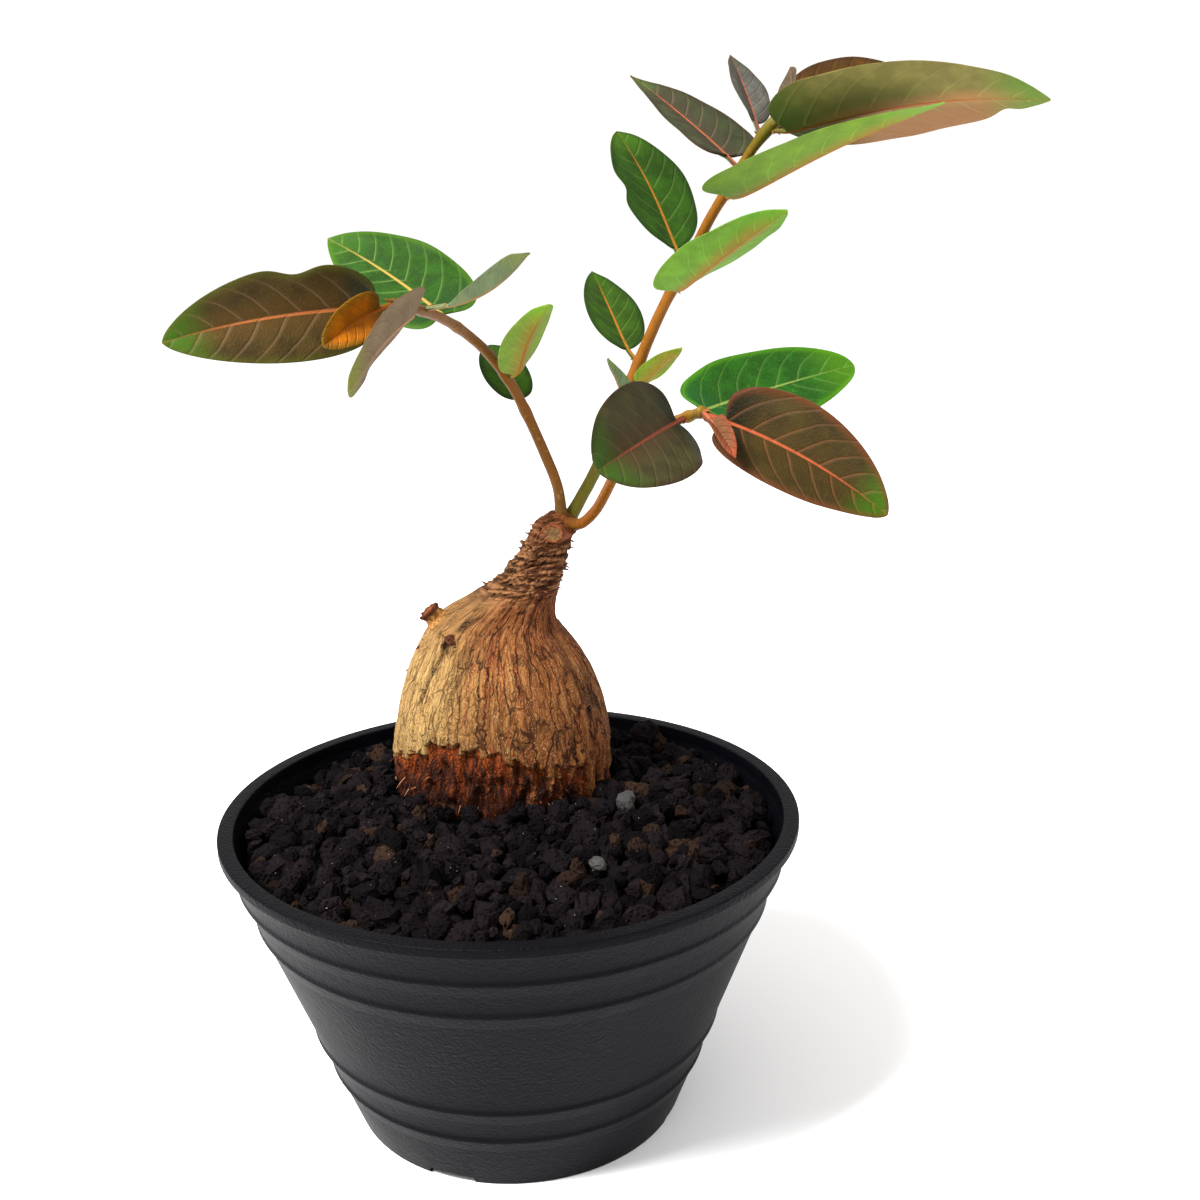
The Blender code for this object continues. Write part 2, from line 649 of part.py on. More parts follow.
def leaf_sheet(leaf, rows, columns):
    """Middle surface of the leaf on a grid: bowed midrib, folded halves, rounded corners."""
    foot, away = leaf_foot(leaf)
    tip = np.array(leaf.tip, float)
    length = np.linalg.norm(tip - foot)
    chord = (tip - foot) / length
    facing = np.array(leaf.facing, float)
    facing = unit(facing - (facing @ chord) * chord)
    sideways = np.cross(chord, facing)
    stalk = PETIOLE_LENGTH / length
    u = np.concatenate([[0], stalk + (1 - stalk) * np.asarray(rows)])[:, None]
    share = np.clip((u - stalk) / (1 - stalk), 0, 1)
    arch = 4 * u * (1 - u) * length
    stalk_bend = 4 * u * (1 - u) ** 4 * PETIOLE_LENGTH
    midrib = (foot + u * length * chord + arch * (leaf.bow * facing + leaf.sway * sideways)
              + stalk_bend * (away - chord))
    along = unit(np.gradient(midrib, u[:, 0], axis=0))
    up = unit(facing - (along @ facing)[:, None] * along)
    right = np.cross(along, up)
    turn = np.radians(leaf.twist) * share
    right, up = (np.cos(turn) * right + np.sin(turn) * up,
                 np.cos(turn) * up - np.sin(turn) * right)
    v = np.asarray(columns)[None, :]
    half = np.where(v > 0, blade_half(leaf, share, 1), blade_half(leaf, share, -1))
    fold = np.radians(leaf.fold) * np.minimum(1, half / 2.5)
    rise = half * np.abs(v) * np.sin(fold)
    out = half * v * np.cos(fold)
    back = leaf.lobe * half * v**2 * (1 - share) ** 6
    return (midrib[:, None] + out[..., None] * right[:, None] + rise[..., None] * up[:, None]
            - back[..., None] * along[:, None])


def sheet_normals(sheet):
    """Unit normals of a grid of points, towards the leaf's upper face."""
    down = np.gradient(sheet, axis=0)
    across = np.gradient(sheet, axis=1)
    return unit(np.cross(across, down))


def blade_faces(rows, columns):
    """Two sheets with the same diagonals, joined round their outline."""
    size = rows * columns
    faces = []
    for i in range(rows - 1):
        for j in range(columns - 1):
            a = i * columns + j
            b, c, d = a + 1, a + columns + 1, a + columns
            for triangle in ((a, b, c), (a, c, d)):
                faces.append(triangle)
                faces.append(tuple(size + k for k in triangle[::-1]))
    outline = list(range(columns))
    outline += [i * columns + columns - 1 for i in range(1, rows)]
    outline += [(rows - 1) * columns + j for j in range(columns - 2, -1, -1)]
    outline += [i * columns for i in range(rows - 2, 0, -1)]
    for a, b in zip(outline, outline[1:] + outline[:1]):
        faces.append((b, a, size + a))
        faces.append((b, size + a, size + b))
    return faces


def make_leaf(leaf):
    sheet = leaf_sheet(leaf, BLADE_ROWS, BLADE_COLUMNS)
    normals = sheet_normals(sheet)
    top = sheet + normals * LEAF_THICKNESS / 2
    rib = RIB_DEPTH * (np.array(BLADE_COLUMNS) == 0)
    bottom = sheet - normals * (LEAF_THICKNESS / 2 + rib[None, :, None])
    points = np.vstack([top.reshape(-1, 3), bottom.reshape(-1, 3)])
    add_object(leaf.name, points, blade_faces(*sheet.shape[:2]), leaf.colour)


def main():
    clear_scene()
    make_pot()
    make_soil()
    make_trunk()
    for name in STEMS:
        make_stem(name)
    for leaf in LEAVES:
        make_leaf(leaf)


main()
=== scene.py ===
"""Potted phyllanthus: a swollen, furrowed trunk with three leafy shoots in a black pot of grit.

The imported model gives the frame. Sizes in the tables are millimetres; MM turns them to metres.
"""

import math
from dataclasses import dataclass
from itertools import product

import bpy
import numpy as np
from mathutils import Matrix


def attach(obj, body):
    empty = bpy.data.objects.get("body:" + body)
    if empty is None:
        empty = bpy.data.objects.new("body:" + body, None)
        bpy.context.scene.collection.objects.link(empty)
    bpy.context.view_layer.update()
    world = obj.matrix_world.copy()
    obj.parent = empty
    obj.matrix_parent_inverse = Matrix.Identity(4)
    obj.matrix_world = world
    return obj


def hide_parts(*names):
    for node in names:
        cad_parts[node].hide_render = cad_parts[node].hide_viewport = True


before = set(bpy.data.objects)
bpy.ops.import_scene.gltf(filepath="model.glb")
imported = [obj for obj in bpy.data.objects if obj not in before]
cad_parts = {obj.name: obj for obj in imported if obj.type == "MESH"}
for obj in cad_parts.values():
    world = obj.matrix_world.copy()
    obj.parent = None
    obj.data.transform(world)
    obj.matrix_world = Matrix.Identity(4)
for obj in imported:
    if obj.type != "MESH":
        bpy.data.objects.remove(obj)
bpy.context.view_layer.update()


# The camera stands 28 cm in front of the pot, at the height of the leaves, and looks down at it
# by 16 degrees.
CAMERA_PLACE = (0.02472, -0.27696, 0.18887)
CAMERA_TURN = (74.228, 0.829, 0.882)  # degrees
CAMERA_LENS = 42.9

lens = bpy.data.cameras.new("camera")
lens.lens = CAMERA_LENS
lens.clip_start = 0.01
camera = bpy.data.objects.new("camera", lens)
camera.location = CAMERA_PLACE
camera.rotation_euler = [math.radians(turn) for turn in CAMERA_TURN]
bpy.context.scene.collection.objects.link(camera)
bpy.context.scene.camera = camera


# A level floor of white paper runs out to a white room. A large soft lamp stands to the upper left
# of the camera and throws a pale warm shadow behind the pot.
MM = 0.001
FLOOR_HALF = 30
PAPER = (0.95, 0.97, 1.0)
ROOM = (1.08, 1.04, 1.0)
LAMP_AIM = (0, 0, 0.1)
PAINT_SHARE = 0.42  # colours are given as they look in this light, so the paint is darker


class Wire:
    """A socket of a shader that Python's arithmetic works on: each sum adds a Math node."""

    def __init__(self, finish, socket):
        self.finish = finish
        self.socket = socket

    def math(self, operation, *terms):
        return self.finish.add("ShaderNodeMath", {"operation": operation}, dict(enumerate(terms)))

    def __add__(self, other):
        return self.math("ADD", self, other)

    def __sub__(self, other):
        return self.math("SUBTRACT", self, other)

    def __rsub__(self, other):
        return self.math("SUBTRACT", other, self)

    def __mul__(self, other):
        return self.math("MULTIPLY", self, other)

    __radd__ = __add__
    __rmul__ = __mul__

    def __abs__(self):
        return self.math("ABSOLUTE", self)

    def fract(self):
        return self.math("FRACT", self)

    def most(self, other):
        return self.math("MAXIMUM", self, other)

    def above(self, low, high):
        """Rises smoothly from 0 at low to 1 at high."""
        return self.finish.add(
            "ShaderNodeMapRange", {"interpolation_type": "SMOOTHSTEP"},
            {"Value": self, "From Min": low, "From Max": high})


class Finish:
    """A material as it is put together: its nodes and its Principled shader."""

    def __init__(self, name, **constants):
        self.material = bpy.data.materials.new(name)
        self.material.use_nodes = True
        self.tree = self.material.node_tree
        self.shader = self.tree.nodes["Principled BSDF"]
        for socket, value in constants.items():
            self.shader.inputs[socket.replace("_", " ")].default_value = value

    def add(self, kind, settings=None, sockets=None, out=0):
        """A node of that kind, set and linked, as the Wire of one of its outputs."""
        node = self.tree.nodes.new(kind)
        for setting, value in (settings or {}).items():
            setattr(node, setting, value)
        for socket, value in (sockets or {}).items():
            self.feed(node.inputs[socket], value)
        return Wire(self, node.outputs[out])

    def feed(self, socket, value):
        if isinstance(value, Wire):
            self.tree.links.new(value.socket, socket)
        else:
            socket.default_value = value

    def paint(self, socket, value):
        self.feed(self.shader.inputs[socket], value)

    def mix(self, share, low, high):
        """Colour low where share is 0, and high where it is 1."""
        return self.add("ShaderNodeMix", {"data_type": "RGBA"},
                        {0: share, 6: tint(low), 7: tint(high)}, out=2)

    def coats(self, colour, *coats):
        """The colour under coats, each a share and a colour, in that order; () is no coat."""
        for share, coat in coats:
            if coat != ():
                colour = self.mix(share, colour, coat)
        return colour

    def place(self, attribute=None):
        """Object coordinates, or a vector that the mesh carries."""
        if attribute:
            return self.add("ShaderNodeAttribute", {"attribute_name": attribute}, out="Vector")
        return self.add("ShaderNodeTexCoord", out="Object")

    def sign(self, name):
        """A number that the mesh carries."""
        return self.add("ShaderNodeAttribute", {"attribute_name": name}, out="Fac")

    def shaken(self, vector, scale, reach):
        """The vector, moved by up to half the reach each way by noise of that scale."""
        drift = self.add("ShaderNodeTexNoise", None, {"Vector": vector, "Scale": scale}, "Color")
        moved = self.add("ShaderNodeVectorMath", {"operation": "MULTIPLY_ADD"},
                         {0: drift, 1: (reach,) * 3, 2: (-reach / 2,) * 3})
        return self.add("ShaderNodeVectorMath", {"operation": "ADD"}, {0: vector, 1: moved})

    def parts(self, vector):
        return [self.add("ShaderNodeSeparateXYZ", None, {0: vector}, out=k) for k in range(3)]

    def sized(self, vector, scale):
        """Sockets of a pattern of one scale, or of three scales along the axes."""
        if isinstance(scale, tuple):
            vector = self.add("ShaderNodeVectorMath", {"operation": "MULTIPLY"},
                              {0: vector, 1: scale})
            scale = 1
        return {"Vector": vector, "Scale": scale}

    def noise(self, vector, scale, detail=3, rough=0.5):
        return self.add("ShaderNodeTexNoise", None, {
            **self.sized(vector, scale), "Detail": detail, "Roughness": rough})

    def cells(self, vector, scale, feature="F1"):
        """Distance to the nearest cell's middle, or to the edge between two cells."""
        return self.add("ShaderNodeTexVoronoi", {"feature": feature},
                        self.sized(vector, scale), out="Distance")

    def bump(self, height, depth):
        """Normals of a surface that rises by height times depth, in metres."""
        self.paint("Normal", self.add(
            "ShaderNodeBump", None, {"Strength": 1, "Distance": depth, "Height": height}))


def tint(colour):
    """A colour from 0 to 255 by the sRGB curve, with alpha; a Wire stays as it is."""
    if isinstance(colour, Wire):
        return colour
    share = np.array(colour) / 255
    linear = np.where(share < 0.04045, share / 12.92, ((share + 0.055) / 1.055) ** 2.4)
    return (*(PAINT_SHARE * linear), 1)


def mesh_piece(name, points, faces, finish, smooth=True):
    """A mesh of points in millimetres, and of arrays of faces with equally many corners."""
    mesh = bpy.data.meshes.new(name)
    points = np.asarray(points, float).reshape(-1, 3) * MM
    faces = [np.reshape(some, (-1, np.shape(some)[-1])) for some in faces]
    corners = np.concatenate([some.ravel() for some in faces])
    sides = np.concatenate([np.full(len(some), some.shape[1]) for some in faces])
    mesh.vertices.add(len(points))
    mesh.vertices.foreach_set("co", points.ravel())
    mesh.loops.add(len(corners))
    mesh.loops.foreach_set("vertex_index", corners)
    mesh.polygons.add(len(sides))
    mesh.polygons.foreach_set("loop_start", np.cumsum(sides) - sides)
    mesh.update(calc_edges=True)
    mesh.validate()
    mesh.polygons.foreach_set("use_smooth", np.full(len(sides), smooth))
    mesh.materials.append(finish.material)
    piece = bpy.data.objects.new(name, mesh)
    bpy.context.scene.collection.objects.link(piece)
    return piece


def grid_faces(rows, columns, closed=False):
    """Four-sided faces of a grid of points, joined round each row if closed."""
    last = columns if closed else columns - 1
    i, j = np.meshgrid(np.arange(rows - 1), np.arange(last), indexing="ij")
    after = (j + 1) % columns
    return np.stack([i * columns + j, i * columns + after,
                     (i + 1) * columns + after, (i + 1) * columns + j], axis=-1).reshape(-1, 4)


paper = Finish("paper", Roughness=0.9, Specular_IOR_Level=0.1)
paper.paint("Base Color", (*PAPER, 1))
corners = np.array([(-1, -1, 0), (1, -1, 0), (1, 1, 0), (-1, 1, 0)]) * FLOOR_HALF / MM
mesh_piece("paper_floor", corners, [np.array([[0, 1, 2, 3]])], paper)

world = bpy.data.worlds.new("studio")
world.use_nodes = True
world.node_tree.nodes["Background"].inputs["Color"].default_value = (*ROOM, 1)
bpy.context.scene.world = world
bpy.context.scene.view_settings.view_transform = "Standard"


def lamp(name, place, aim, size, watts, colour=(1, 1, 1)):
    """A square soft lamp at place that shines at aim."""
    light = bpy.data.lights.new(name, "AREA")
    light.size = size
    light.energy = watts
    light.color = colour
    holder = bpy.data.objects.new(name, light)
    holder.location = place
    back = np.array(place) - np.array(aim)
    flat = math.hypot(back[0], back[1])
    holder.rotation_euler = (math.atan2(flat, back[2]), 0, math.atan2(back[0], -back[1]))
    bpy.context.scene.collection.objects.link(holder)


lamp("key_lamp", place=(-0.5, -0.42, 0.9), aim=LAMP_AIM, size=0.3, watts=29,
     colour=(1, 0.985, 0.96))
lamp("fill_lamp", place=(0.7, -0.5, 0.5), aim=LAMP_AIM, size=0.6, watts=1.5)


# The pot is one moulding of black plastic with a fine pebbled skin: a turned-out lip, four low
# ribs round a conical wall, a foot ring with four notches, and a floor with four drain holes.
POT_HEIGHT = 66
POT_RIM = 60
POT_MOUTH = 56.8
POT_NECK = 59
POT_FOOT = 35.2
POT_LIP = 2
POT_WALL = 1.9
POT_RECESS = 2
POT_FLOOR = 1.8
POT_RIBS = (57, 48.8, 21.7, 13.5)
RIB_RISE = 0.55
RIB_BEVEL = 0.9
RIB_SLOPE = 3
FOOT_RING = 3.4
PAD = 6  # radius of the round rest under the floor's middle
RECESS_SLOPE = 0.4  # by which the recess narrows upwards
POT_SIDES = 192
FILLET = 0.35
SHARP_EDGE = 50  # degrees
NOTCH_WIDTH, NOTCH_HEIGHT, NOTCH_TURN = 9.7, 1.5, -108.7  # its turn in degrees
NOTCH_OUT, NOTCH_IN = 4, 6  # reach of its cutter either way from the foot's edge
HOLE_RADIUS, HOLE_CIRCLE, HOLE_SIDES = 3.5, 19, 24
HOLE_TOP = 6


def wall_radius(z):
    """Outer radius of the wall, which widens evenly from the foot to the neck."""
    return POT_FOOT + (POT_NECK - POT_FOOT) / (POT_HEIGHT - POT_LIP) * z


def pot_section():
    """Half section of the pot from the middle of its floor over the rim to its underside."""
    floor_top = POT_RECESS + POT_FLOOR
    inner = wall_radius(floor_top) - POT_WALL
    under_lip = POT_HEIGHT - POT_LIP
    straight = (POT_MOUTH + POT_WALL - POT_FOOT) / (wall_radius(1) - wall_radius(0))
    section = [
        (0, floor_top),
        (inner, floor_top),
        (POT_MOUTH, straight),
        (POT_MOUTH, POT_HEIGHT),
        (POT_RIM, POT_HEIGHT),
        (POT_RIM, under_lip),
        (wall_radius(under_lip) - 0.1, under_lip),
    ]
    for crest in POT_RIBS:
        section.append((wall_radius(crest + RIB_BEVEL), crest + RIB_BEVEL))
        section.append((wall_radius(crest) + RIB_RISE, crest))
        section.append((wall_radius(crest - RIB_SLOPE), crest - RIB_SLOPE))
    ring = POT_FOOT - FOOT_RING
    section += [(POT_FOOT, 0), (ring, 0), (ring - RECESS_SLOPE, POT_RECESS),
                (PAD + RECESS_SLOPE, POT_RECESS), (PAD, 0), (0, 0)]
    return np.array(section, float)


def filleted(section, radius, steps=4):
    """The section with each corner replaced by a curve that starts a radius before it, or just
    short of halfway along a short side."""
    before, at, after = section[:-2], section[1:-1], section[2:]
    reach_in = np.linalg.norm(before - at, axis=1)[:, None]
    reach_out = np.linalg.norm(after - at, axis=1)[:, None]
    start = at + (before - at) / reach_in * np.minimum(radius, 0.45 * reach_in)
    end = at + (after - at) / reach_out * np.minimum(radius, 0.45 * reach_out)
    t = np.linspace(0, 1, steps)[None, :, None]
    curve = (1 - t) ** 2 * start[:, None] + 2 * t * (1 - t) * at[:, None] + t**2 * end[:, None]
    return np.vstack([section[:1], curve.reshape(-1, 2), section[-1:]])


def even_turns(count):
    """Angles of that many points, evenly round a circle."""
    return np.arange(count) * 2 * math.pi / count


def capped_tube(grid):
    """Faces of rings of points, closed by a fan round a middle point at each end."""
    rings, sides = grid.shape[:2]
    points = np.vstack([grid.reshape(-1, 3), grid[0].mean(axis=0), grid[-1].mean(axis=0)])
    k = np.arange(sides)
    after = (k + 1) % sides
    last = (rings - 1) * sides
    fans = np.concatenate([
        np.stack([np.full(sides, rings * sides), after, k], axis=1),
        np.stack([np.full(sides, rings * sides + 1), last + k, last + after], axis=1)])
    return points, [grid_faces(rings, sides, closed=True), fans]


def turned(section, sides):
    """Surface of revolution: a ring for each inner point of the section, from last to first."""
    turns = even_turns(sides)
    radius, height = section[-2:0:-1].T[..., None]
    return capped_tube(np.stack([
        radius * np.cos(turns), radius * np.sin(turns), height + 0 * turns], axis=-1))


def four_prisms(outline, low, high, turn):
    """Closed prisms a quarter turn apart, over an outline with x + iy for each corner."""
    sides = len(outline)
    spun = outline * np.exp(1j * (math.radians(turn) + even_turns(4)[:, None, None]))
    points = np.stack(np.broadcast_arrays(spun.real, spun.imag, [[low], [high]]), axis=-1)
    start = 2 * sides * np.arange(4)[:, None, None]
    ends = np.stack([np.arange(sides)[::-1], np.arange(sides, 2 * sides)])
    return points, [grid_faces(2, sides, closed=True) + start, ends + start]


def cut_away(piece, cutter):
    """Takes the cutter's space out of the piece for good, and removes the cutter."""
    cut = piece.modifiers.new("cut", "BOOLEAN")
    cut.operation = "DIFFERENCE"
    cut.solver = "EXACT"
    cut.object = cutter
    bpy.context.view_layer.update()
    done = bpy.data.meshes.new_from_object(
        piece.evaluated_get(bpy.context.evaluated_depsgraph_get()))
    piece.modifiers.clear()
    piece.data = done
    bpy.data.objects.remove(cutter)


plastic = Finish("pot_plastic_skin", Specular_IOR_Level=0.05)
spot = plastic.place()
pebbles = plastic.noise(spot, 1500, 2)
dust = plastic.noise(spot, 60, 4, 0.6)
plastic.paint("Base Color", plastic.mix(dust.above(0.45, 0.75) * 0.5, (8, 9, 16), (18, 19, 28)))
plastic.paint("Roughness", 0.42 + 0.16 * dust)
plastic.bump(pebbles + 0.6 * plastic.noise(spot, 600, 3), 0.0002)

pot = mesh_piece("pot_shell", *turned(filleted(pot_section(), FILLET), POT_SIDES), plastic)
half = NOTCH_WIDTH / 2 * 1j
notch = POT_FOOT + np.array((NOTCH_OUT - half, NOTCH_OUT + half,
                             -NOTCH_IN + half, -NOTCH_IN - half))
hole = HOLE_CIRCLE + HOLE_RADIUS * np.exp(1j * even_turns(HOLE_SIDES))
for outline, top, turn in ((notch, NOTCH_HEIGHT, NOTCH_TURN), (hole, HOLE_TOP, NOTCH_TURN + 45)):
    cut_away(pot, mesh_piece("pot_cutter", *four_prisms(outline, -1, top, turn), plastic))
pot.data.shade_smooth()
pot.data.set_sharp_from_angle(angle=math.radians(SHARP_EDGE))
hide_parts("pot")
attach(pot, "root")


# The grit is crushed black lava, angular and full of pores, heaped a little towards the trunk.
# A dark bed fills the pot. On it lie about a thousand loose stones in four layers, twelve bigger
# ones and two pale pebbles.
GRIT_EDGE = 60.6
GRIT_MOUND = 4.5
GRIT_FLOOR = 4.2
BED_DEPTH = 2.4  # of the bed's hollows under the grit's level
TRUNK_PLACE = np.array((-3.2, 19))
TRUNK_WAIST = 23.6
STONE_SEED = 5
STONE_CUTS = 8  # planes that cut each stone flat
STONE_SHAKE = 0.36  # from its grid place, as a share of the pitch
WIDTH_SPREAD = 0.22
STONE_LAYERS = (  # height of the middles over the bed, mean width, pitch, share kept
    (-1.8, 4.0, 4.4, 1), (-0.4, 5.6, 5.6, 1), (0.9, 4.6, 6.4, 0.75), (1.7, 2.9, 4.6, 0.35),
)
BIG_STONES = (  # x, y, height of middle, width
    (28.5, 43, 65.6, 6.4), (-14, -32, 64.4, 6.8), (37, -20, 64.0, 7.0), (-30, -18, 63.6, 6.6),
    (12, -36, 63.6, 6.4), (-44, 4, 62.6, 6.2), (45, 12, 62.6, 6.4), (4, -18, 65.2, 6.2),
    (-24, -34, 62.8, 6.6), (30, -4, 64.6, 6.0), (-33, 30, 63.4, 6.2), (6, -48, 62.0, 6.0),
)
PALE_PEBBLES = ((24.3, -1.2, 67.0, 4.8), (18.5, -27.1, 65.7, 4.0))
LATTICE_SIZE = 48
LATTICE = np.random.default_rng(7).random((LATTICE_SIZE,) * 3)


def noise(points):
    """Smooth values from 0 to 1: a lattice of random numbers, blended between its corners."""
    cell = np.floor(points).astype(int)
    part = points - cell
    part = part * part * (3 - 2 * part)
    total = 0
    for corner in product((0, 1), repeat=3):
        weight = np.prod(np.where(corner, part, 1 - part), axis=-1)
        i, j, k = np.moveaxis((cell + corner) % LATTICE_SIZE, -1, 0)
        total = total + weight * LATTICE[i, j, k]
    return total


def inner_wall(z):
    """Inner radius of the pot: the wall's less its thickness, as far as the mouth's."""
    return np.minimum(POT_MOUTH, wall_radius(z) - POT_WALL)


def grit_level(x, y):
    """Height of the grit: a mound that falls off with the square of the distance outward."""
    outward = np.minimum(1, np.hypot(x, y) / POT_MOUTH)
    return GRIT_EDGE + GRIT_MOUND * (1 - outward**2)


def ball(rings=5, sides=8):
    """Points and triangles of a unit ball: two poles, and rings of points, each other ring half
    a step on."""
    down = np.radians(np.linspace(180, 0, rings + 2)[1:-1, None])
    turns = even_turns(sides) + (np.arange(rings)[:, None] % 2) * math.pi / sides
    points, (walls, fans) = capped_tube(np.stack([
        np.sin(down) * np.cos(turns), np.sin(down) * np.sin(turns),
        np.cos(down) + 0 * turns], axis=-1))
    points[-2:] = ((0, 0, -1), (0, 0, 1))
    return points, np.concatenate([walls[:, :3], walls[:, [0, 2, 3]], fans])


def stones(rng, centres, widths, round_off=0.0):
    """Each stone is a ball, squeezed, cut flat by random planes, roughened, turned and placed."""
    unit_points, unit_faces = ball()
    count = len(centres)
    body = np.repeat(unit_points[None], count, axis=0)
    for _ in range(STONE_CUTS):
        way = rng.normal(size=(count, 1, 3))
        way /= np.linalg.norm(way, axis=-1, keepdims=True)
        depth = rng.uniform(0.5 + round_off, 0.9, (count, 1))
        beyond = np.maximum(0, (body * way).sum(axis=-1) - depth)
        body = body - beyond[..., None] * way
    rough = noise(unit_points[None] * 1.9 + rng.uniform(0, 40, (count, 1, 3))) - 0.5
    body = body * (1.12 + (0.5 - round_off) * rough[..., None])
    body = body * rng.uniform((0.95, 0.8, 0.65), (1.25, 1.05, 0.95), (count, 1, 3))
    axes, _ = np.linalg.qr(rng.normal(size=(count, 3, 3)))
    axes = axes * np.linalg.det(axes)[:, None, None]
    body = body @ axes
    points = centres[:, None] + body * widths[:, None, None] / 2
    faces = unit_faces[None] + np.arange(count)[:, None, None] * len(unit_points)
    return points, faces


def heaped(rng):
    """Centres and widths of the loose stones: shaken grids, layer upon layer."""
    centres, widths = [], []
    for rise_over, width, pitch, kept in STONE_LAYERS:
        steps = np.arange(-16, 17)
        column, row = np.meshgrid(steps, steps)
        shake = STONE_SHAKE * pitch
        x = (column + 0.5 * (row % 2)) * pitch + rng.uniform(-shake, shake, row.shape)
        y = row * pitch * math.sqrt(0.75) + rng.uniform(-shake, shake, row.shape)
        across = (width * rng.lognormal(0, WIDTH_SPREAD, row.shape)).clip(2.2, 8)
        z = grit_level(x, y) + rise_over - 0.18 * (across - width)
        z = z + rng.uniform(-0.7, 0.7, row.shape)
        inside = np.hypot(x, y) < inner_wall(z) - 0.45 * across
        clear = np.hypot(x - TRUNK_PLACE[0], y - TRUNK_PLACE[1]) > TRUNK_WAIST + 0.2 * across
        keep = inside & clear & (rng.random(row.shape) < kept)
        centres.append(np.stack([x[keep], y[keep], z[keep]], axis=1))
        widths.append(across[keep])
    return np.concatenate(centres), np.concatenate(widths)


def carry(piece, name, values):
    """Gives each point of the mesh a number or a vector that its material reads."""
    values = np.asarray(values, float)
    if values.ndim > 1 and values.shape[-1] == 3:
        layer = piece.data.attributes.new(name, "FLOAT_VECTOR", "POINT")
        layer.data.foreach_set("vector", values.ravel())
    else:
        layer = piece.data.attributes.new(name, "FLOAT", "POINT")
        layer.data.foreach_set("value", values.ravel())


lava = Finish("lava_grit_pores", Roughness=0.85, Specular_IOR_Level=0.04)
spot = lava.place()
tone, rust = lava.sign("tone"), lava.sign("rust")
pores = lava.cells(spot, 1100)
grains = lava.noise(spot, 1800, 4, 0.7)
glint = lava.noise(spot, 2600, 0).above(0.87, 0.88)
lava.paint("Base Color", lava.coats(
    lava.mix(tone, (8, 6, 9), (36, 28, 32)),
    (rust, lava.mix(tone, (32, 22, 18), (64, 46, 36))),
    # painted shade: the pits of the pores are darker
    (pores.above(0.5, 0.15) * 0.8, (9, 8, 8)),
    (glint, (170, 166, 160))))
lava.bump(pores.above(0.1, 0.55) + 0.9 * grains, 0.00026)

rng = np.random.default_rng(STONE_SEED)
centres, widths = heaped(rng)
points, faces = stones(rng, centres, widths)
grit = mesh_piece("lava_stones", points, [faces], lava, smooth=False)
carry(grit, "tone", np.repeat(rng.random(len(centres)), points.shape[1]))
carry(grit, "rust", np.repeat(rng.random(len(centres)) > 0.9, points.shape[1]))

big = np.array(BIG_STONES)
points, faces = stones(rng, big[:, :3], big[:, 3])
large = mesh_piece("large_lava_stones", points, [faces], lava, smooth=False)
carry(large, "tone", np.repeat(rng.uniform(0.2, 0.9, len(big)), points.shape[1]))
carry(large, "rust", np.repeat(np.arange(len(big)) % 4 == 2, points.shape[1]))

edge = np.array((GRIT_FLOOR, GRIT_EDGE - BED_DEPTH))
radii = np.concatenate([inner_wall(edge) - 0.4, np.linspace(inner_wall(edge[1]) - 0.5, 0.5, 60)])
turns = even_turns(144)
x, y = radii[:, None] * np.cos(turns), radii[:, None] * np.sin(turns)
lumps = noise(np.stack([x / 2.4, y / 2.4, 0 * x], axis=-1))
height = grit_level(x, y) - BED_DEPTH + 2.2 * lumps
height[:2] = edge[:, None]
bed = mesh_piece("grit_bed", *capped_tube(np.stack([x, y, height], axis=-1)), lava)
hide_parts("soil")

chalk = Finish("pale_pebble", Roughness=0.75)
spot = chalk.place()
chalk.paint("Base Color", chalk.mix(chalk.noise(spot, 900, 4, 0.7), (36, 36, 36), (72, 70, 68)))
chalk.bump(chalk.noise(spot, 1500, 3), 0.0003)
pale = np.array(PALE_PEBBLES)
points, faces = stones(rng, pale[:, :3], pale[:, 3], round_off=0.12)
pebble = mesh_piece("pale_pebbles", points, [faces], chalk, smooth=False)
for piece in (grit, large, bed, pebble):
    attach(piece, "root")


# The caudex is one swollen woody trunk: tan bark split by long furrows that run together at the
# neck, a dark red collar where the old skin has flaked away above the grit, and a leaning neck
# ringed by the scars of shed leaves.
TRUNK = (  # x, y, z of the middle, lean in degrees towards +X, radius
    (-3.4, 19, 30, 0, 2.0), (-3.4, 19, 36, 0, 4.5), (-3.4, 19, 43, 0, 9.5),
    (-3.3, 19, 50, 0, 17.0), (-3.3, 19, 57, 0, 21.8), (-3.2, 19, 64, 0, 23.6),
    (-3.0, 19, 73, 0, 24.1), (-2.9, 19, 81, 0, 23.0), (-3.0, 19, 86, 0, 21.7),
    (-3.0, 19, 91, 1, 19.8), (-2.9, 19, 96, 3, 17.1), (-2.7, 19, 99.3, 6, 14.8),
    (-2.0, 19, 101.5, 10, 12.5), (-0.5, 18.8, 103.8, 12, 10.2), (1.4, 18.5, 106.4, 14, 8.2),
    (4.0, 18, 109.9, 16, 6.2), (5.3, 17.8, 112.3, 18, 5.7), (6.6, 17.5, 114.7, 19, 5.1),
    (8.0, 17.1, 118, 18, 4.5), (9.7, 16.8, 121.9, 16, 4.05), (12.0, 16.5, 123.4, 45, 3.0),
)
TRUNK_SIDES = 250
TRUNK_SHARES = np.concatenate([  # few rings below the grit, many above it
    np.linspace(0, 0.3, 10, endpoint=False), np.linspace(0.3, 1, 310)])
FURROWS = ((3.2, 30, 11, 1.0), (1.9, 14, 31, 0.7))  # spacing, length, seed, weight
BARK_SIGNS = ("furrow", "collar", "neck", "ring", "knot", "lip", "low", "fresh")
BARK_RADIUS = 24  # the furrows keep the widths that they have here, so they meet at the neck
NECK_START = 108  # height where the scars begin
SCAR_PITCH = 2.3
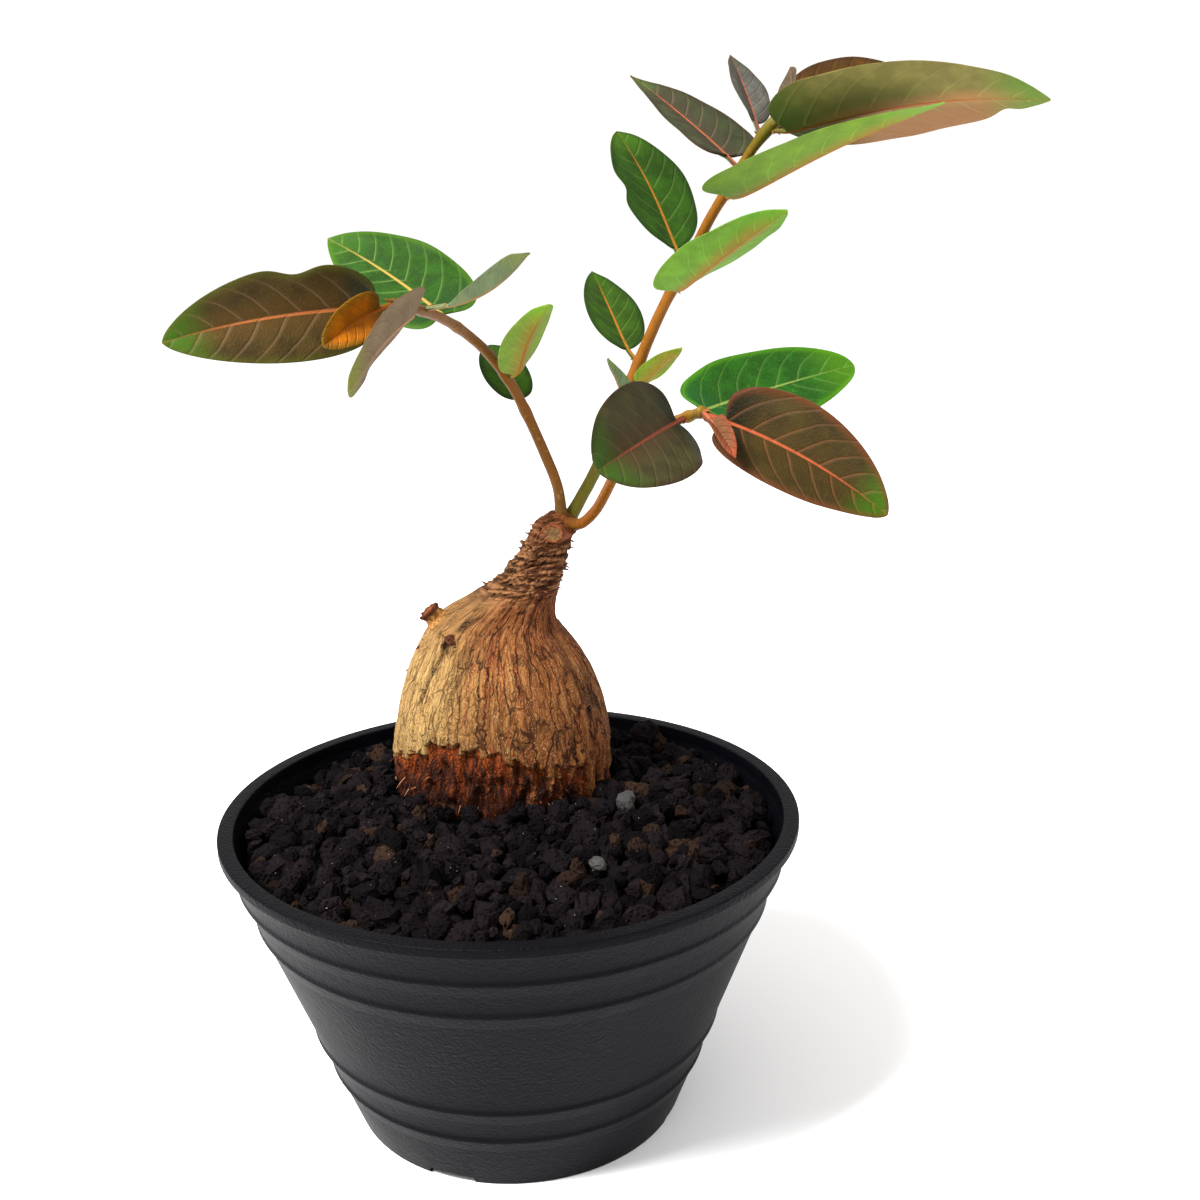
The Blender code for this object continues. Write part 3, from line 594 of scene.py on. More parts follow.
COLLAR = (  # turn in degrees, height of the flaked edge, share of it that strands cover
    (-180, 71.5, 0.35), (-165, 73, 0.25), (-150, 75, 0.2), (-138, 76.5, 0.1), (-122, 80.3, 0.1),
    (-110, 79.6, 0.2), (-99, 79.6, 0.15), (-91, 78.7, 0.25), (-84, 77.4, 0.4), (-75, 76.6, 0.5),
    (-68, 75.5, 0.55), (-54, 74.5, 0.62), (-34, 73.2, 0.66), (-10, 72.5, 0.7), (30, 75, 0.6),
    (60, 73.5, 0.5), (100, 77, 0.6), (140, 74, 0.5), (180, 71.5, 0.35),
)
STRAND_DROP = 8
KNOTS = (  # turn, height, rise, spread
    (-127, 99.4, 2.2, 1.8), (-125, 103.2, 0.8, 1.5), (-69, 96.7, 0.5, 1.2), (-20, 86, -0.6, 3.0),
    (-30, 84.5, 0.7, 1.3), (-68, 84.3, 0.35, 2.2), (-73, 91.3, 0.3, 1.5), (95, 92, 1.0, 1.8),
    (40, 98, 0.6, 1.6), (150, 86, 0.6, 2.4), (-120, 76.8, -0.5, 1.1),
)
GASHES = (  # turn and height of both ends, width, depth
    (-129, 98.6, -139, 87, 0.5, 0.9), (-23, 102, -30, 88, 0.6, 0.6), (-57, 108, -66, 92, 0.5, 0.3),
    (-105, 104, -112, 92, 0.5, 0.4), (60, 104, 66, 84, 0.6, 0.5), (120, 100, 128, 82, 0.6, 0.5),
)


def through(rows, shares, pieces=12):
    """Rows of a Catmull-Rom curve through the given rows, at shares of its length, which is
    measured over that many straight pieces from row to row."""
    rows = np.array(rows, float)
    ends = np.vstack([2 * rows[0] - rows[1], rows, 2 * rows[-1] - rows[-2]])
    a, b, c, d = (ends[i:len(ends) - 3 + i, None] for i in range(4))
    t = np.linspace(0, 1, pieces, endpoint=False)[None, :, None]
    fine = 0.5 * (2 * b + (c - a) * t + (2 * a - 5 * b + 4 * c - d) * t**2
                  + (3 * b - a - 3 * c + d) * t**3)
    fine = np.vstack([fine.reshape(-1, rows.shape[1]), rows[-1:]])
    steps = np.linalg.norm(np.diff(fine[:, :3], axis=0), axis=1)
    length = np.concatenate([[0], np.cumsum(steps)])
    wanted = np.asarray(shares) * length[-1]
    return np.stack([np.interp(wanted, length, column) for column in fine.T], axis=1)


def ease(values, low, high):
    """From 0 at low to 1 at high, level at both ends; high may be the lower one."""
    share = np.clip((values - low) / (high - low), 0, 1)
    return share * share * (3 - 2 * share)


def unit(vectors):
    """The vectors divided by their lengths."""
    return vectors / np.linalg.norm(vectors, axis=-1, keepdims=True)


def round_turn(turns, degrees):
    """Turns measured from one in degrees, between half a turn back and half a turn on."""
    return (turns - np.radians(degrees) + math.pi) % (2 * math.pi) - math.pi


def with_ends(values):
    """A value per point of a capped tube, from one per point of its rings."""
    flat = values.reshape(-1, *values.shape[2:])
    return np.concatenate([flat, values[0].mean(axis=0)[None], values[-1].mean(axis=0)[None]])


def bark_relief(turns, z, run, radius):
    """Height of the bark over the smooth trunk, and the signs that its colour follows.

    run is the length up the bark. Furrows are the level lines of noise stretched along it.
    Scars are a saw of tilted, shaken rings on the neck. Below the collar's ragged edge the skin
    is gone, but for strands that still hang over it. A knot is a hump with a dimple, and a gash
    a groove from one point to another.
    """
    girth = np.stack([np.cos(turns), np.sin(turns), 0 * turns], axis=-1) * BARK_RADIUS
    tall = np.stack([0 * z, 0 * z, run], axis=-1)
    neck = ease(z, NECK_START - 3.5, NECK_START + 2)
    broad = noise(girth / 9 + tall / 26 + 5) - 0.5
    wander = noise(girth / 6 + tall / 9 + 20) - 0.5
    furrow = np.zeros_like(z)
    for width, length, seed, weight in FURROWS:
        value = noise(girth / width + tall / length + seed + wander[..., None] * 0.9)
        furrow = np.maximum(furrow, weight * np.exp(-(((value - 0.5) / 0.04) ** 2)))
    furrow = furrow * ease(noise(girth / 7 + tall / 14 + 60), 0.3, 0.6) * (1 - neck)
    coarse = noise(girth / 1.3 + tall / 2.6 + 70) - 0.5
    flakes = noise(girth / 0.9 + tall / 2.0 + 44) - 0.5

    collar_turn, collar_height, covered = np.array(COLLAR, float).T
    top = np.interp(np.degrees(turns), collar_turn, collar_height)
    cover = np.interp(np.degrees(turns), collar_turn, covered)
    strand = 0.6 * noise(girth / 1.3 + tall / 14 + 90) + 0.4 * noise(girth / 0.6 + 33)
    hang = ease(strand, 1.04 - cover, 1.16 - cover)
    edge = top + 3.6 * flakes - (0.4 + 0.9 * noise(girth / 1.9 + 30)) * STRAND_DROP * hang
    collar = ease(z, edge + 0.3, edge - 0.3)
    lip = np.exp(-(((z - edge - 0.7) / 0.8) ** 2)) * (1 - collar)
    fresh = np.exp(-(((z - edge) / 2.4) ** 2)) * collar
    low = ease(z, 80, 67)

    shake = noise(girth / 7 + tall / 2.6) - 0.5 + 0.5 * (noise(girth / 3 + tall / 1.3 + 3) - 0.5)
    slant = z + 0.26 * radius * np.cos(turns - 2.6) + 2.6 * shake
    saw = (slant / SCAR_PITCH) % 1
    strength = ease(noise(girth / 10 + tall / 1.8 + 50), 0.25, 0.6)
    ring = np.exp(-(((saw - 0.5) / 0.1) ** 2)) * neck * strength
    scales = noise(girth / 3.0 + tall / 0.7 + 40) - 0.5

    dark = np.zeros_like(z)
    rise = (1.3 * broad + 0.3 * wander) * (1 - 0.8 * neck) - 0.5 * furrow
    rise = rise + (0.35 * flakes + 0.25 * coarse) * (0.35 + low) * (1 - neck)
    rise = rise + neck * (0.8 * strength * (saw - 0.5) - 0.8 * ring + 0.8 * scales)
    for turn, height, lift, spread in KNOTS:
        gone = np.hypot(round_turn(turns, turn) * radius, z - height) / spread
        gone = gone * (1 + 1.5 * coarse)
        rise = rise + lift * np.exp(-(gone**2)) * (1 - 0.8 * np.exp(-((gone / 0.4) ** 2)))
        dark = np.maximum(dark, np.exp(-((gone / 0.9) ** 4)) * min(1, 1.4 * abs(lift)))
    for turn_a, high, turn_b, low_end, width, depth in GASHES:
        share = np.clip((high - z) / (high - low_end), 0, 1)
        away = round_turn(turns, turn_a + (turn_b - turn_a) * share) * radius + 0.8 * wander
        gone = np.hypot(away, np.maximum(0, z - high) + np.maximum(0, low_end - z)) / width
        dark = np.maximum(dark, depth * np.exp(-(gone**2)))
        rise = rise - depth * np.exp(-(gone**2))
        furrow = np.maximum(furrow, 1.3 * np.exp(-(gone**2)))
    rise = rise + collar * (-0.8 + 2.4 * coarse) + 0.35 * lip * low
    return rise, (furrow, collar, neck, ring, dark, lip * low, low, fresh)


bark = Finish("bark_furrowed", Roughness=0.75, Specular_IOR_Level=0.12)
spot, meridian = bark.place(), bark.place("meridian")
furrow, collar, neck, ring, knot, lip, low, fresh = (bark.sign(name) for name in BARK_SIGNS)
leftward, height = bark.parts(meridian)[0], bark.parts(spot)[2]
bent = bark.shaken(meridian, 0.12, 3.0)
crooked = bark.shaken(bark.shaken(meridian, 0.22, 3.2), 0.9, 0.9)
grain = bark.noise(bent, (0.9, 0.9, 0.22), 6, 0.7)
streak = bark.noise(bent, (0.55, 0.55, 0.035), 4, 0.6)
fine = bark.noise(spot, (3600, 3600, 1900), 4, 0.7)
bands = bark.noise(spot, (240, 240, 1400), 4, 0.65)
blotch = bark.noise(meridian, (0.11, 0.11, 0.07))
patch = bark.noise(meridian, (0.3, 0.3, 0.16), 2)
long_cells = bark.cells(crooked, (0.3, 0.3, 0.05), "DISTANCE_TO_EDGE")
short_cells = bark.cells(crooked, (0.55, 0.55, 0.13), "DISTANCE_TO_EDGE")
nets = bark.cells(bark.shaken(meridian, 0.7, 1.1), (0.85, 0.85, 0.3), "DISTANCE_TO_EDGE")
crack = (long_cells.above(0.05, 0.012) * patch.above(0.38, 0.5)).most(
    short_cells.above(0.06, 0.012) * patch.above(0.56, 0.44) * 0.8)
net = nets.above(0.07, 0.01) * (0.3 + 0.7 * low) * (1 - neck)
# Painted light: the left side of the trunk, which faces the key lamp, is painted lighter, and its
# cracks fainter.
pale = leftward.above(0, -20)

tan = bark.coats(
    bark.mix(grain.above(0.36, 0.64), (150, 84, 36), (238, 164, 92)),
    (blotch.above(0.42, 0.6) * 0.6, (142, 88, 42)),
    (blotch.above(0.46, 0.34) * 0.5, (216, 128, 72)),
    (streak.above(0.53, 0.65) * 0.75, (172, 76, 38)),
    (streak.above(0.44, 0.34) * 0.6, (248, 188, 112)),
    # painted light on the left side
    (pale * 0.85 * grain.above(0.2, 0.55), (255, 212, 132)),
    # painted shade: the right side, away from the key lamp, darker and redder
    (leftward.above(2, 20) * 0.5, (172, 86, 34)),
    (low * grain.above(0.66, 0.36) * 0.85, (150, 76, 28)),
    (fine.above(0.54, 0.64) * 0.65, (255, 214, 150)),
    (fine.above(0.44, 0.31) * 0.7, (120, 58, 22)),
    (net * 0.6, (84, 40, 16)),
    (lip * fine.above(0.35, 0.6) * 0.7, (226, 160, 92)),
    (height.above(0.093, 0.104) * 0.4, (170, 78, 38)))
scarred = bark.coats(
    bark.mix(bands.above(0.45, 0.62), (104, 54, 30), (250, 176, 118)),
    (bands.above(0.46, 0.38) * 0.8, (40, 20, 14)),
    (height.above(0.1175, 0.122) * 0.45, (190, 92, 54)),
    (ring * 0.9, (44, 24, 20)))
raw = bark.coats(
    bark.mix(grain.above(0.4, 0.64), (56, 16, 4), (188, 86, 26)),
    (streak.above(0.5, 0.62) * 0.8, (34, 10, 4)),
    (low.above(0.7, 1) * 0.6, (44, 14, 4)),
    (fresh * 0.8 * grain.above(0.3, 0.55), (214, 100, 30)),
    (fine.above(0.46, 0.6) * 0.7, (26, 8, 4)),
    (fine.above(0.36, 0.28) * 0.8, (250, 170, 110)))
bark.paint("Base Color", bark.coats(
    tan,
    (neck * 0.85, scarred),
    (furrow * 0.35, (104, 56, 28)),
    # cracks are painted fainter on the lit left side
    (crack * (1 - neck) * (0.85 - 0.4 * pale), (62, 26, 8)),
    (knot * (0.5 + 0.5 * fine.above(0.62, 0.4)), (50, 28, 18)),
    (collar, raw)))
bark.paint("Roughness", 0.8 - 0.22 * collar)
bark.bump(0.7 * grain + 0.7 * fine + 0.35 * nets.above(0, 0.12) - 0.9 * crack
          + 1.4 * bands * neck, 0.0006)

line = through(TRUNK, TRUNK_SHARES)
turns = even_turns(TRUNK_SIDES) - math.pi
centre, lean, radius = line[:, None, :3], np.radians(line[:, 3:4]), line[:, 4:5]
height = centre[..., 2] - np.sin(lean) * np.cos(turns) * radius
turn_grid = np.broadcast_to(turns, height.shape)
out = np.stack([np.cos(turns) * np.cos(lean), np.sin(turns) + 0 * lean,
                -np.cos(turns) * np.sin(lean)], axis=-1)
steps = np.linalg.norm(np.diff(centre + radius[..., None] * out, axis=0), axis=2)
run = np.vstack([np.zeros(TRUNK_SIDES), np.cumsum(steps, axis=0)])
rise, signs_at = bark_relief(turn_grid, height, run, np.broadcast_to(radius, height.shape))
rise = rise * np.minimum(1, radius / 9 + 0.35)
trunk_grid = centre + (radius + rise)[..., None] * out
trunk = mesh_piece("caudex_bark", *capped_tube(trunk_grid), bark)
for name, values in zip(BARK_SIGNS, signs_at):
    carry(trunk, name, with_ends(values))
meridian_at = np.stack([BARK_RADIUS * np.cos(turn_grid), BARK_RADIUS * np.sin(turn_grid),
                        run], axis=-1)
carry(trunk, "meridian", with_ends(meridian_at))
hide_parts("caudex")
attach(trunk, "root")


# Fused to the caudex are the stump of a cut shoot on its left shoulder, two small knots, a healed
# oval scar under the crown, and the lumpy crown itself, which the shoots grow out of.
STUMP = ((-12.6, 18.0, 98.0), (-18.0, 16.8, 104.1), 2.0)  # foot, end, radius
SCAR = ((10.6, 16.4, 121.0), (9.35, 12.2, 121.6), 2.3)
CROWN = ((10.6, 16.9, 121.5), (12.9, 16.3, 125.0), 2.9)
STUMP_OUTLINE = (  # share of the length, share of the radius
    (0, 2.4), (0.3, 2.1), (0.5, 1.7), (0.68, 1.2), (0.8, 1.02), (0.9, 1.1), (0.97, 1.14), (1, 1),
    (0.98, 0.8), (0.93, 0.62), (0.95, 0.4), (0.99, 0.16),
)
SCAR_OUTLINE = ((0, 1.3), (0.5, 1.2), (0.8, 1.14), (0.95, 1.08), (1.0, 0.97), (0.98, 0.86),
                (0.955, 0.76), (0.96, 0.6), (0.97, 0.4), (0.98, 0.15))
KNOT_OUTLINE = ((0, 1.8), (0.4, 1.6), (0.6, 1.3), (0.8, 1.1), (0.95, 0.9), (0.98, 0.65),
                (0.86, 0.45), (0.78, 0.15))
CROWN_OUTLINE = ((0, 1.05), (0.3, 1.08), (0.55, 1.05), (0.75, 0.92), (0.9, 0.66), (0.98, 0.36),
                 (1.0, 0.12))
KNOB_SIDES = 48


def knob(name, ends, outline, finish, lumps, squeeze=1.0):
    """A short turned piece from foot to end with a roughened outline.

    It carries its shares of the radius and of the length, which its colours follow.
    """
    foot, end, radius = np.array(ends[0]), np.array(ends[1]), ends[2]
    shares = np.linspace(0, 1, 4 * len(outline))
    along, wide = through([(a, w, 0) for a, w in outline], shares).T[:2]
    axis = unit(end - foot)
    side = unit(np.cross((0, -0.2, 1.0), axis))
    front = np.cross(axis, side) * squeeze
    turns = even_turns(KNOB_SIDES)[None, :, None]
    ring = np.cos(turns) * side + np.sin(turns) * front
    centre = foot + along[:, None, None] * (end - foot)
    rough = noise((centre + ring * 3) * 1.1) - 0.5 + 0.5 * (noise((centre + ring * 4) * 2.3) - 0.5)
    grid = centre + (wide[:, None] * radius + lumps * rough)[..., None] * ring
    grid = grid + (0.5 * lumps * rough * along[:, None] ** 2)[..., None] * axis
    piece = mesh_piece(name, *capped_tube(grid), finish)
    carry(piece, "wide", with_ends(np.broadcast_to(wide[:, None], grid.shape[:2])))
    carry(piece, "along", with_ends(np.broadcast_to(along[:, None], grid.shape[:2])))
    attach(piece, "root")


def dimmed(colour, factor):
    """Each part of the colour times the factor, up to white."""
    return tuple(min(255, factor * part) for part in colour)


def knob_finish(name, flank, rim, face):
    """Rough bark on the flank, a dark or light rim, and the cut or healed face."""
    finish = Finish(name, Roughness=0.75, Specular_IOR_Level=0.1)
    rough = finish.noise(finish.place(), 1500, 4, 0.7)
    colour = finish.mix(rough.above(0.35, 0.65), dimmed(flank, 0.7), dimmed(flank, 1.25))
    ring = finish.mix(rough.above(0.4, 0.6), dimmed(rim, 0.75), dimmed(rim, 1.2))
    middle = finish.mix(rough.above(0.4, 0.6), dimmed(face, 0.85), dimmed(face, 1.15))
    end = finish.mix(finish.sign("wide").above(0.9, 0.72), ring, middle)
    finish.paint("Base Color", finish.mix(finish.sign("along").above(0.82, 0.93), colour, end))
    finish.bump(rough, 0.0004)
    return finish


def on_trunk(turn, z):
    """A point of the bark at a turn in degrees and a height, and the way out from there."""
    side = int(round((math.radians(turn) + math.pi) / (2 * math.pi) * TRUNK_SIDES)) % TRUNK_SIDES
    row = int(np.argmin(abs(trunk_grid[:, side, 2] - z)))
    return trunk_grid[row, side], out[row, side]


knob("cut_stump", STUMP, STUMP_OUTLINE,
     knob_finish("cut_stump_wood", (222, 146, 80), (96, 46, 22), (170, 100, 56)), 0.8)
for name, turn, z, wide in (("shoulder_knot", -127, 99.5, 1.05), ("right_knot", -30, 84.5, 0.75)):
    foot, away = on_trunk(turn, z)
    knob(name, (foot - 1.2 * away, foot + 0.9 * wide * away, wide), KNOT_OUTLINE,
         knob_finish(name + "_wood", (96, 54, 30), (120, 72, 44), (36, 18, 10)), 1.1)
knob("healed_scar", SCAR, SCAR_OUTLINE,
     knob_finish("healed_scar_cork", (170, 96, 58), (150, 84, 48), (136, 102, 64)), 0.25, 0.76)
knob("crown_swelling", CROWN, CROWN_OUTLINE,
     knob_finish("crown_cork", (150, 84, 40), (124, 88, 24), (120, 76, 22)), 0.7)


# Dry scraps stand out from the bark: stipule stubs on the neck, frayed bark on the shoulder and
# the edge of the collar, and hair roots at the grit.
SPIKE_RINGS = 5
SPIKE_SIDES = 6
SCRAP_SEED = 11


def spikes(name, rows, finish, sag=0.0):
    """Pointed bristles, a row each of foot, end and radius, bent down by sag times their length."""
    feet, ends, radii = (np.array(column, float) for column in zip(*rows))
    t = np.linspace(0, 1, SPIKE_RINGS)[None, :, None]
    length = np.linalg.norm(ends - feet, axis=1)[:, None, None]
    centre = feet[:, None] + (ends - feet)[:, None] * t
    centre = centre - sag * length * t**2 * np.array((0, 0, 1.0))
    way = unit(ends - feet)
    side = unit(np.cross(way, (0.3, 0.5, 0.81)))
    front = np.cross(way, side)
    turns = even_turns(SPIKE_SIDES)[None, :, None]
    ring = np.cos(turns) * side[:, None] + np.sin(turns) * front[:, None]
    width = radii[:, None, None, None] * (1.02 - t[..., None]) ** 0.7
    grid = centre[:, :, None] + width * ring[:, None]
    points = SPIKE_RINGS * SPIKE_SIDES
    start = (np.arange(len(feet)) * points)[:, None, None]
    walls = grid_faces(SPIKE_RINGS, SPIKE_SIDES, closed=True) + start
    caps = np.stack([np.arange(SPIKE_SIDES)[::-1], np.arange(points - SPIKE_SIDES, points)])
    return mesh_piece(name, grid, [walls, caps + start], finish)


def mottled(name, scale, low, high, **constants):
    """A finish in patches of two colours."""
    finish = Finish(name, **constants)
    patches = finish.noise(finish.place(), scale, 2).above(0.4, 0.6)
    finish.paint("Base Color", finish.mix(patches, low, high))
    return finish


rng = np.random.default_rng(SCRAP_SEED)
scraps = [(-178, 118.4), (-176, 117.3), (-172, 120.5), (-170, 115), (-4, 119.2), (-6, 117.6),
          (-2, 115.3), (-8, 113.9), (-5, 111.9), (-150, 113), (-120, 112), (-60, 112.5)]
scraps += zip(rng.uniform(-180, 180, 46), rng.uniform(108, 122.5, 46))
frayed = [(-178, 90.3), (-176, 88.6), (-174, 99), (-172, 97.6), (-170, 96.4), (-176, 86.5)]
frayed += [(turn, np.interp(turn, *np.array(COLLAR).T[:2]) + drop)
           for turn, drop in zip(rng.uniform(-180, 180, 40), rng.uniform(-8, 0.5, 40))]
rows = []
for turn, z in scraps + frayed:
    foot, away = on_trunk(turn, z)
    way = unit(away + rng.normal(0, 0.45, 3) + (0, 0, 0.35 if z > 106 else -0.5))
    reach = rng.uniform(0.7, 1.5) if z > 106 else rng.uniform(0.6, 1.7)
    rows.append((foot - 0.4 * away, foot + reach * way, rng.uniform(0.2, 0.42)))
scrap = spikes("dry_scraps", rows, mottled("dry_scraps_bark", 700, (66, 34, 20), (158, 96, 58),
                                           Roughness=0.8, Specular_IOR_Level=0.1))

HAIR_ROOTS = (  # turn, height, reach outward, drop, radius
    (-152, 69.0, 2.6, 1.6, 0.22), (-146, 67.6, 2.0, 1.4, 0.18), (-108, 67.4, 2.6, 0.4, 0.12),
    (-100, 67.0, 2.2, 0.6, 0.12), (-62, 67.2, 2.4, 0.8, 0.14), (-30, 68.0, 2.2, 1.2, 0.16),
)
rows = []
for turn, z, reach, drop, width in HAIR_ROOTS:
    foot, away = on_trunk(turn, z)
    rows.append((foot - 0.4 * away, foot + reach * away + (0.6, 0, -drop), width))
rootlet = Finish("hair_root_skin", Roughness=0.7)
rootlet.paint("Base Color", rootlet.mix(rootlet.noise(rootlet.place(), 600, 2), (150, 82, 40),
                                        (214, 150, 96)))
hair = spikes("hair_roots", rows, rootlet, sag=0.2)
for piece in (scrap, hair):
    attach(piece, "root")


# The shoots are this season's wood: thin round stems with smooth orange-brown bark, a little
# thicker where each leaf joins them. The tall one starts and ends green.
STEMS = {  # places along the middle, radius at the foot, radius at the tip
    "stem_left": ((
        (11.2, 16.2, 124.8), (10.4, 15.9, 131.2), (7.6, 14.5, 139.2), (4.9, 12, 146.4),
        (2.0, 8, 153.4), (-1.6, 2, 159.8), (-5.4, -7, 165.0), (-8.3, -18, 168.5),
        (-10.9, -30, 170.9), (-13.0, -39, 172.4)), 1.15, 0.85),
    "stem_tall": ((
        (12.7, 18.1, 123.4), (15.8, 18.4, 128.7), (18.8, 17.8, 134.4), (21.1, 17.2, 140.2),
        (24.1, 16.5, 147.5), (27.0, 16, 154.7), (30.9, 15, 163.8), (34.3, 14, 170.7),
        (37.8, 13, 176.9), (42.0, 11, 185.0), (46.2, 9, 191.8), (49.2, 7, 196.8),
        (51.8, 5, 200.3), (53.6, 4.2, 202.2)), 1.35, 0.9),
    "stem_front": ((
        (12.9, 15.1, 123.1), (15.6, 11.6, 123.9), (18.6, 7, 127.6), (20.8, 2, 132.3),
        (24.1, -6, 139.8), (28.4, -16, 146.2), (32.2, -27, 150.2), (35.7, -35, 152.8),
        (37.6, -39, 154.0)), 1.15, 0.85),
}
STEM_RINGS = 150
STEM_SIDES = 20


@dataclass
class Leaf:
    """One leaf: where it joins its stem, where its tip is, and how its blade is shaped."""

    name: str
    stem: str
    along: float  # share of the stem's length
    tip: tuple
    width: float
    facing: tuple  # roughly the way its upper face looks
    fold: float = 10  # degrees that each half rises from flat
    bow: float = 0.05  # rise of the midrib's middle, as a share of its length
    sway: float = 0.0  # bend of the midrib to the leaf's right, as a share of its length
    lobe: float = 0.0  # reach of the blade's corners behind its foot, as a share of their width
    uneven: float = 0.0  # share by which its right half is wider than the mean of both
    twist: float = 0.0  # degrees from foot to tip
    base: float = 0.45  # below 0.5 the foot of the blade is round
    point: float = 0.8  # above 1 the tip is drawn out
    side: tuple = ()  # way from the stem to the foot, where that isn't towards the tip
    dents: tuple = ()  # side, place along, depth as a share of the half width, spread
    slot: str = "leaf_green"


LEAVES = (
    Leaf("leaf_left_1", "stem_left", 0.97, (-48.5, -49, 167.5), 16, (0.35, -0.93, 0.12),
         fold=16, bow=0.03, sway=0.035, base=0.4, point=0.7, lobe=0.3,
         dents=((1, 0.36, 0.2, 0.09),), slot="leaf_bronze"),
    Leaf("leaf_left_2", "stem_left", 0.64, (-33.5, 13, 181.5), 19.5, (0, -0.55, 0.84),
         fold=3, bow=0, sway=0.03, twist=17, uneven=0.1, base=0.35, point=0.75, lobe=0.6),
    Leaf("leaf_left_3", "stem_left", 0.85, (9, -37, 180), 8, (-0.33, 0.25, 0.9),
         fold=27, bow=-0.09, sway=-0.03, base=0.85, point=0.45, slot="leaf_pale"),
    Leaf("leaf_left_4", "stem_left", 0.95, (-17, -61, 161), 15.5, (-0.77, 0, 0.63),
         side=(0.8, 0, -0.6), fold=7, bow=0.02, sway=-0.11, twist=-20, base=0.4, point=0.45,
         slot="leaf_pale"),
    Leaf("leaf_left_5", "stem_left", 1.0, (-22, -53, 167), 8, (0.85, -0.5, 0.2),
         fold=24, bow=0.03, sway=0.05, twist=-18, base=0.3, point=0.55, lobe=0.3,
         slot="leaf_young"),
    Leaf("leaf_left_6", "stem_left", 0.39, (11, -13, 170), 10.5, (-0.53, 0.36, 0.77),
         fold=17, bow=-0.01, sway=0.065, twist=8, base=0.42, point=0.5, lobe=0.1,
         slot="leaf_pale"),
    Leaf("leaf_left_7", "stem_left", 0.28, (-3.5, 26.5, 159), 10, (0.2, -0.58, 0.79),
         fold=8, bow=0, base=0.4, point=0.5, lobe=0.2),
    Leaf("leaf_tall_1", "stem_tall", 0.4, (18, 33, 173.5), 13, (0.34, -0.58, 0.74),
         fold=13, bow=0, base=0.57, point=0.85, lobe=0.15),
    Leaf("leaf_tall_2", "stem_tall", 0.35, (36, 6.5, 160), 7.5, (-0.3, 0.5, 0.82),
         fold=10, bow=0, sway=0.035, twist=9, base=0.32, point=0.8, slot="leaf_pale"),
    Leaf("leaf_tall_3", "stem_tall", 0.58, (54, -12, 186), 18, (-0.38, 0.27, 0.89),
         fold=13, bow=-0.01, sway=0.06, twist=25, base=0.35, point=0.73, lobe=0.2,
         slot="leaf_pale"),
    Leaf("leaf_tall_4", "stem_tall", 0.64, (23.5, 31, 201.5), 17, (0.43, -0.63, 0.65),
         fold=10, bow=0, sway=0.045, twist=6, base=0.58, point=0.7,
         dents=((-1, 0.5, 0.2, 0.1),)),
    Leaf("leaf_tall_5", "stem_tall", 0.81, (80, -17, 203.5), 24, (-0.3, 0.17, 0.94),
         fold=13, bow=0, sway=0.1, twist=5, uneven=0.05, base=0.36, point=1.15, lobe=0.15,
         slot="leaf_pale"),
    Leaf("leaf_tall_6", "stem_tall", 0.87, (26.5, 28, 212), 17, (0.34, -0.44, 0.83),
         fold=15, bow=-0.02, sway=0.07, twist=15, base=0.33, point=1.1, lobe=0.3,
         slot="leaf_bronze"),
    Leaf("leaf_tall_7", "stem_tall", 0.98, (97.5, -19, 203.5), 26.5, (0.1, 0.35, 0.93),
         fold=6, bow=0.02, sway=0.075, twist=11, base=0.35, point=0.82, lobe=0.1,
         dents=((-1, 0.85, 0.3, 0.04),), slot="leaf_bronze"),
    Leaf("leaf_tall_8", "stem_tall", 0.97, (82, 31, 212), 17, (0.28, -0.62, 0.73),
         fold=12, bow=0, sway=-0.02, twist=-4, base=0.65, point=0.72, slot="leaf_bronze"),
    Leaf("leaf_tall_9", "stem_tall", 0.95, (46, 22, 215), 8.5, (0.53, -0.33, 0.78),
         fold=21, bow=-0.01, sway=0.04, twist=17, base=0.5, point=0.85, lobe=0.1,
         slot="leaf_bronze"),
    Leaf("leaf_tall_10", "stem_tall", 1.0, (57, 14, 212), 5.5, (-0.78, -0.4, 0.45),
         fold=25, bow=-0.07, sway=0.05, base=0.4, point=0.7, slot="leaf_young"),
    Leaf("leaf_front_1", "stem_front", 1.0, (67, -50, 138.5), 17, (-0.08, -0.86, 0.5),
         fold=24, bow=0.03, sway=-0.04, twist=-7, base=0.37, point=0.7, lobe=0.4,
         slot="leaf_bronze"),
    Leaf("leaf_front_2", "stem_front", 0.93, (20.5, -67, 149.5), 18.5, (0.7, -0.36, 0.63),
         fold=16, bow=0.045, base=0.4, point=0.43, lobe=0.4, slot="leaf_bronze"),
    Leaf("leaf_front_3", "stem_front", 0.92, (66.5, -14, 158.5), 19, (0.13, -0.46, 0.88),
         fold=6, bow=-0.075, sway=-0.095, twist=-8, base=0.31, point=0.5, lobe=0.25),
    Leaf("leaf_front_4", "stem_front", 1.0, (42.3, -51, 148.5), 5, (-0.1, -0.4, 0.91),
         fold=52, bow=0.11, sway=0.03, base=0.5, point=0.85, slot="leaf_young"),
    Leaf("leaf_front_5", "stem_front", 0.59, (21.7, -17, 160.7), 6.2, (0.85, 0.35, 0.38),
         fold=22, bow=0, sway=-0.065, twist=-14, base=0.55, point=0.87, lobe=0.3,
         slot="leaf_pale"),
)
NODE_SWELL = 0.14
NODE_SPREAD = 0.02
CROWN_FACING = (math.sqrt(0.5), 0, math.sqrt(0.5))


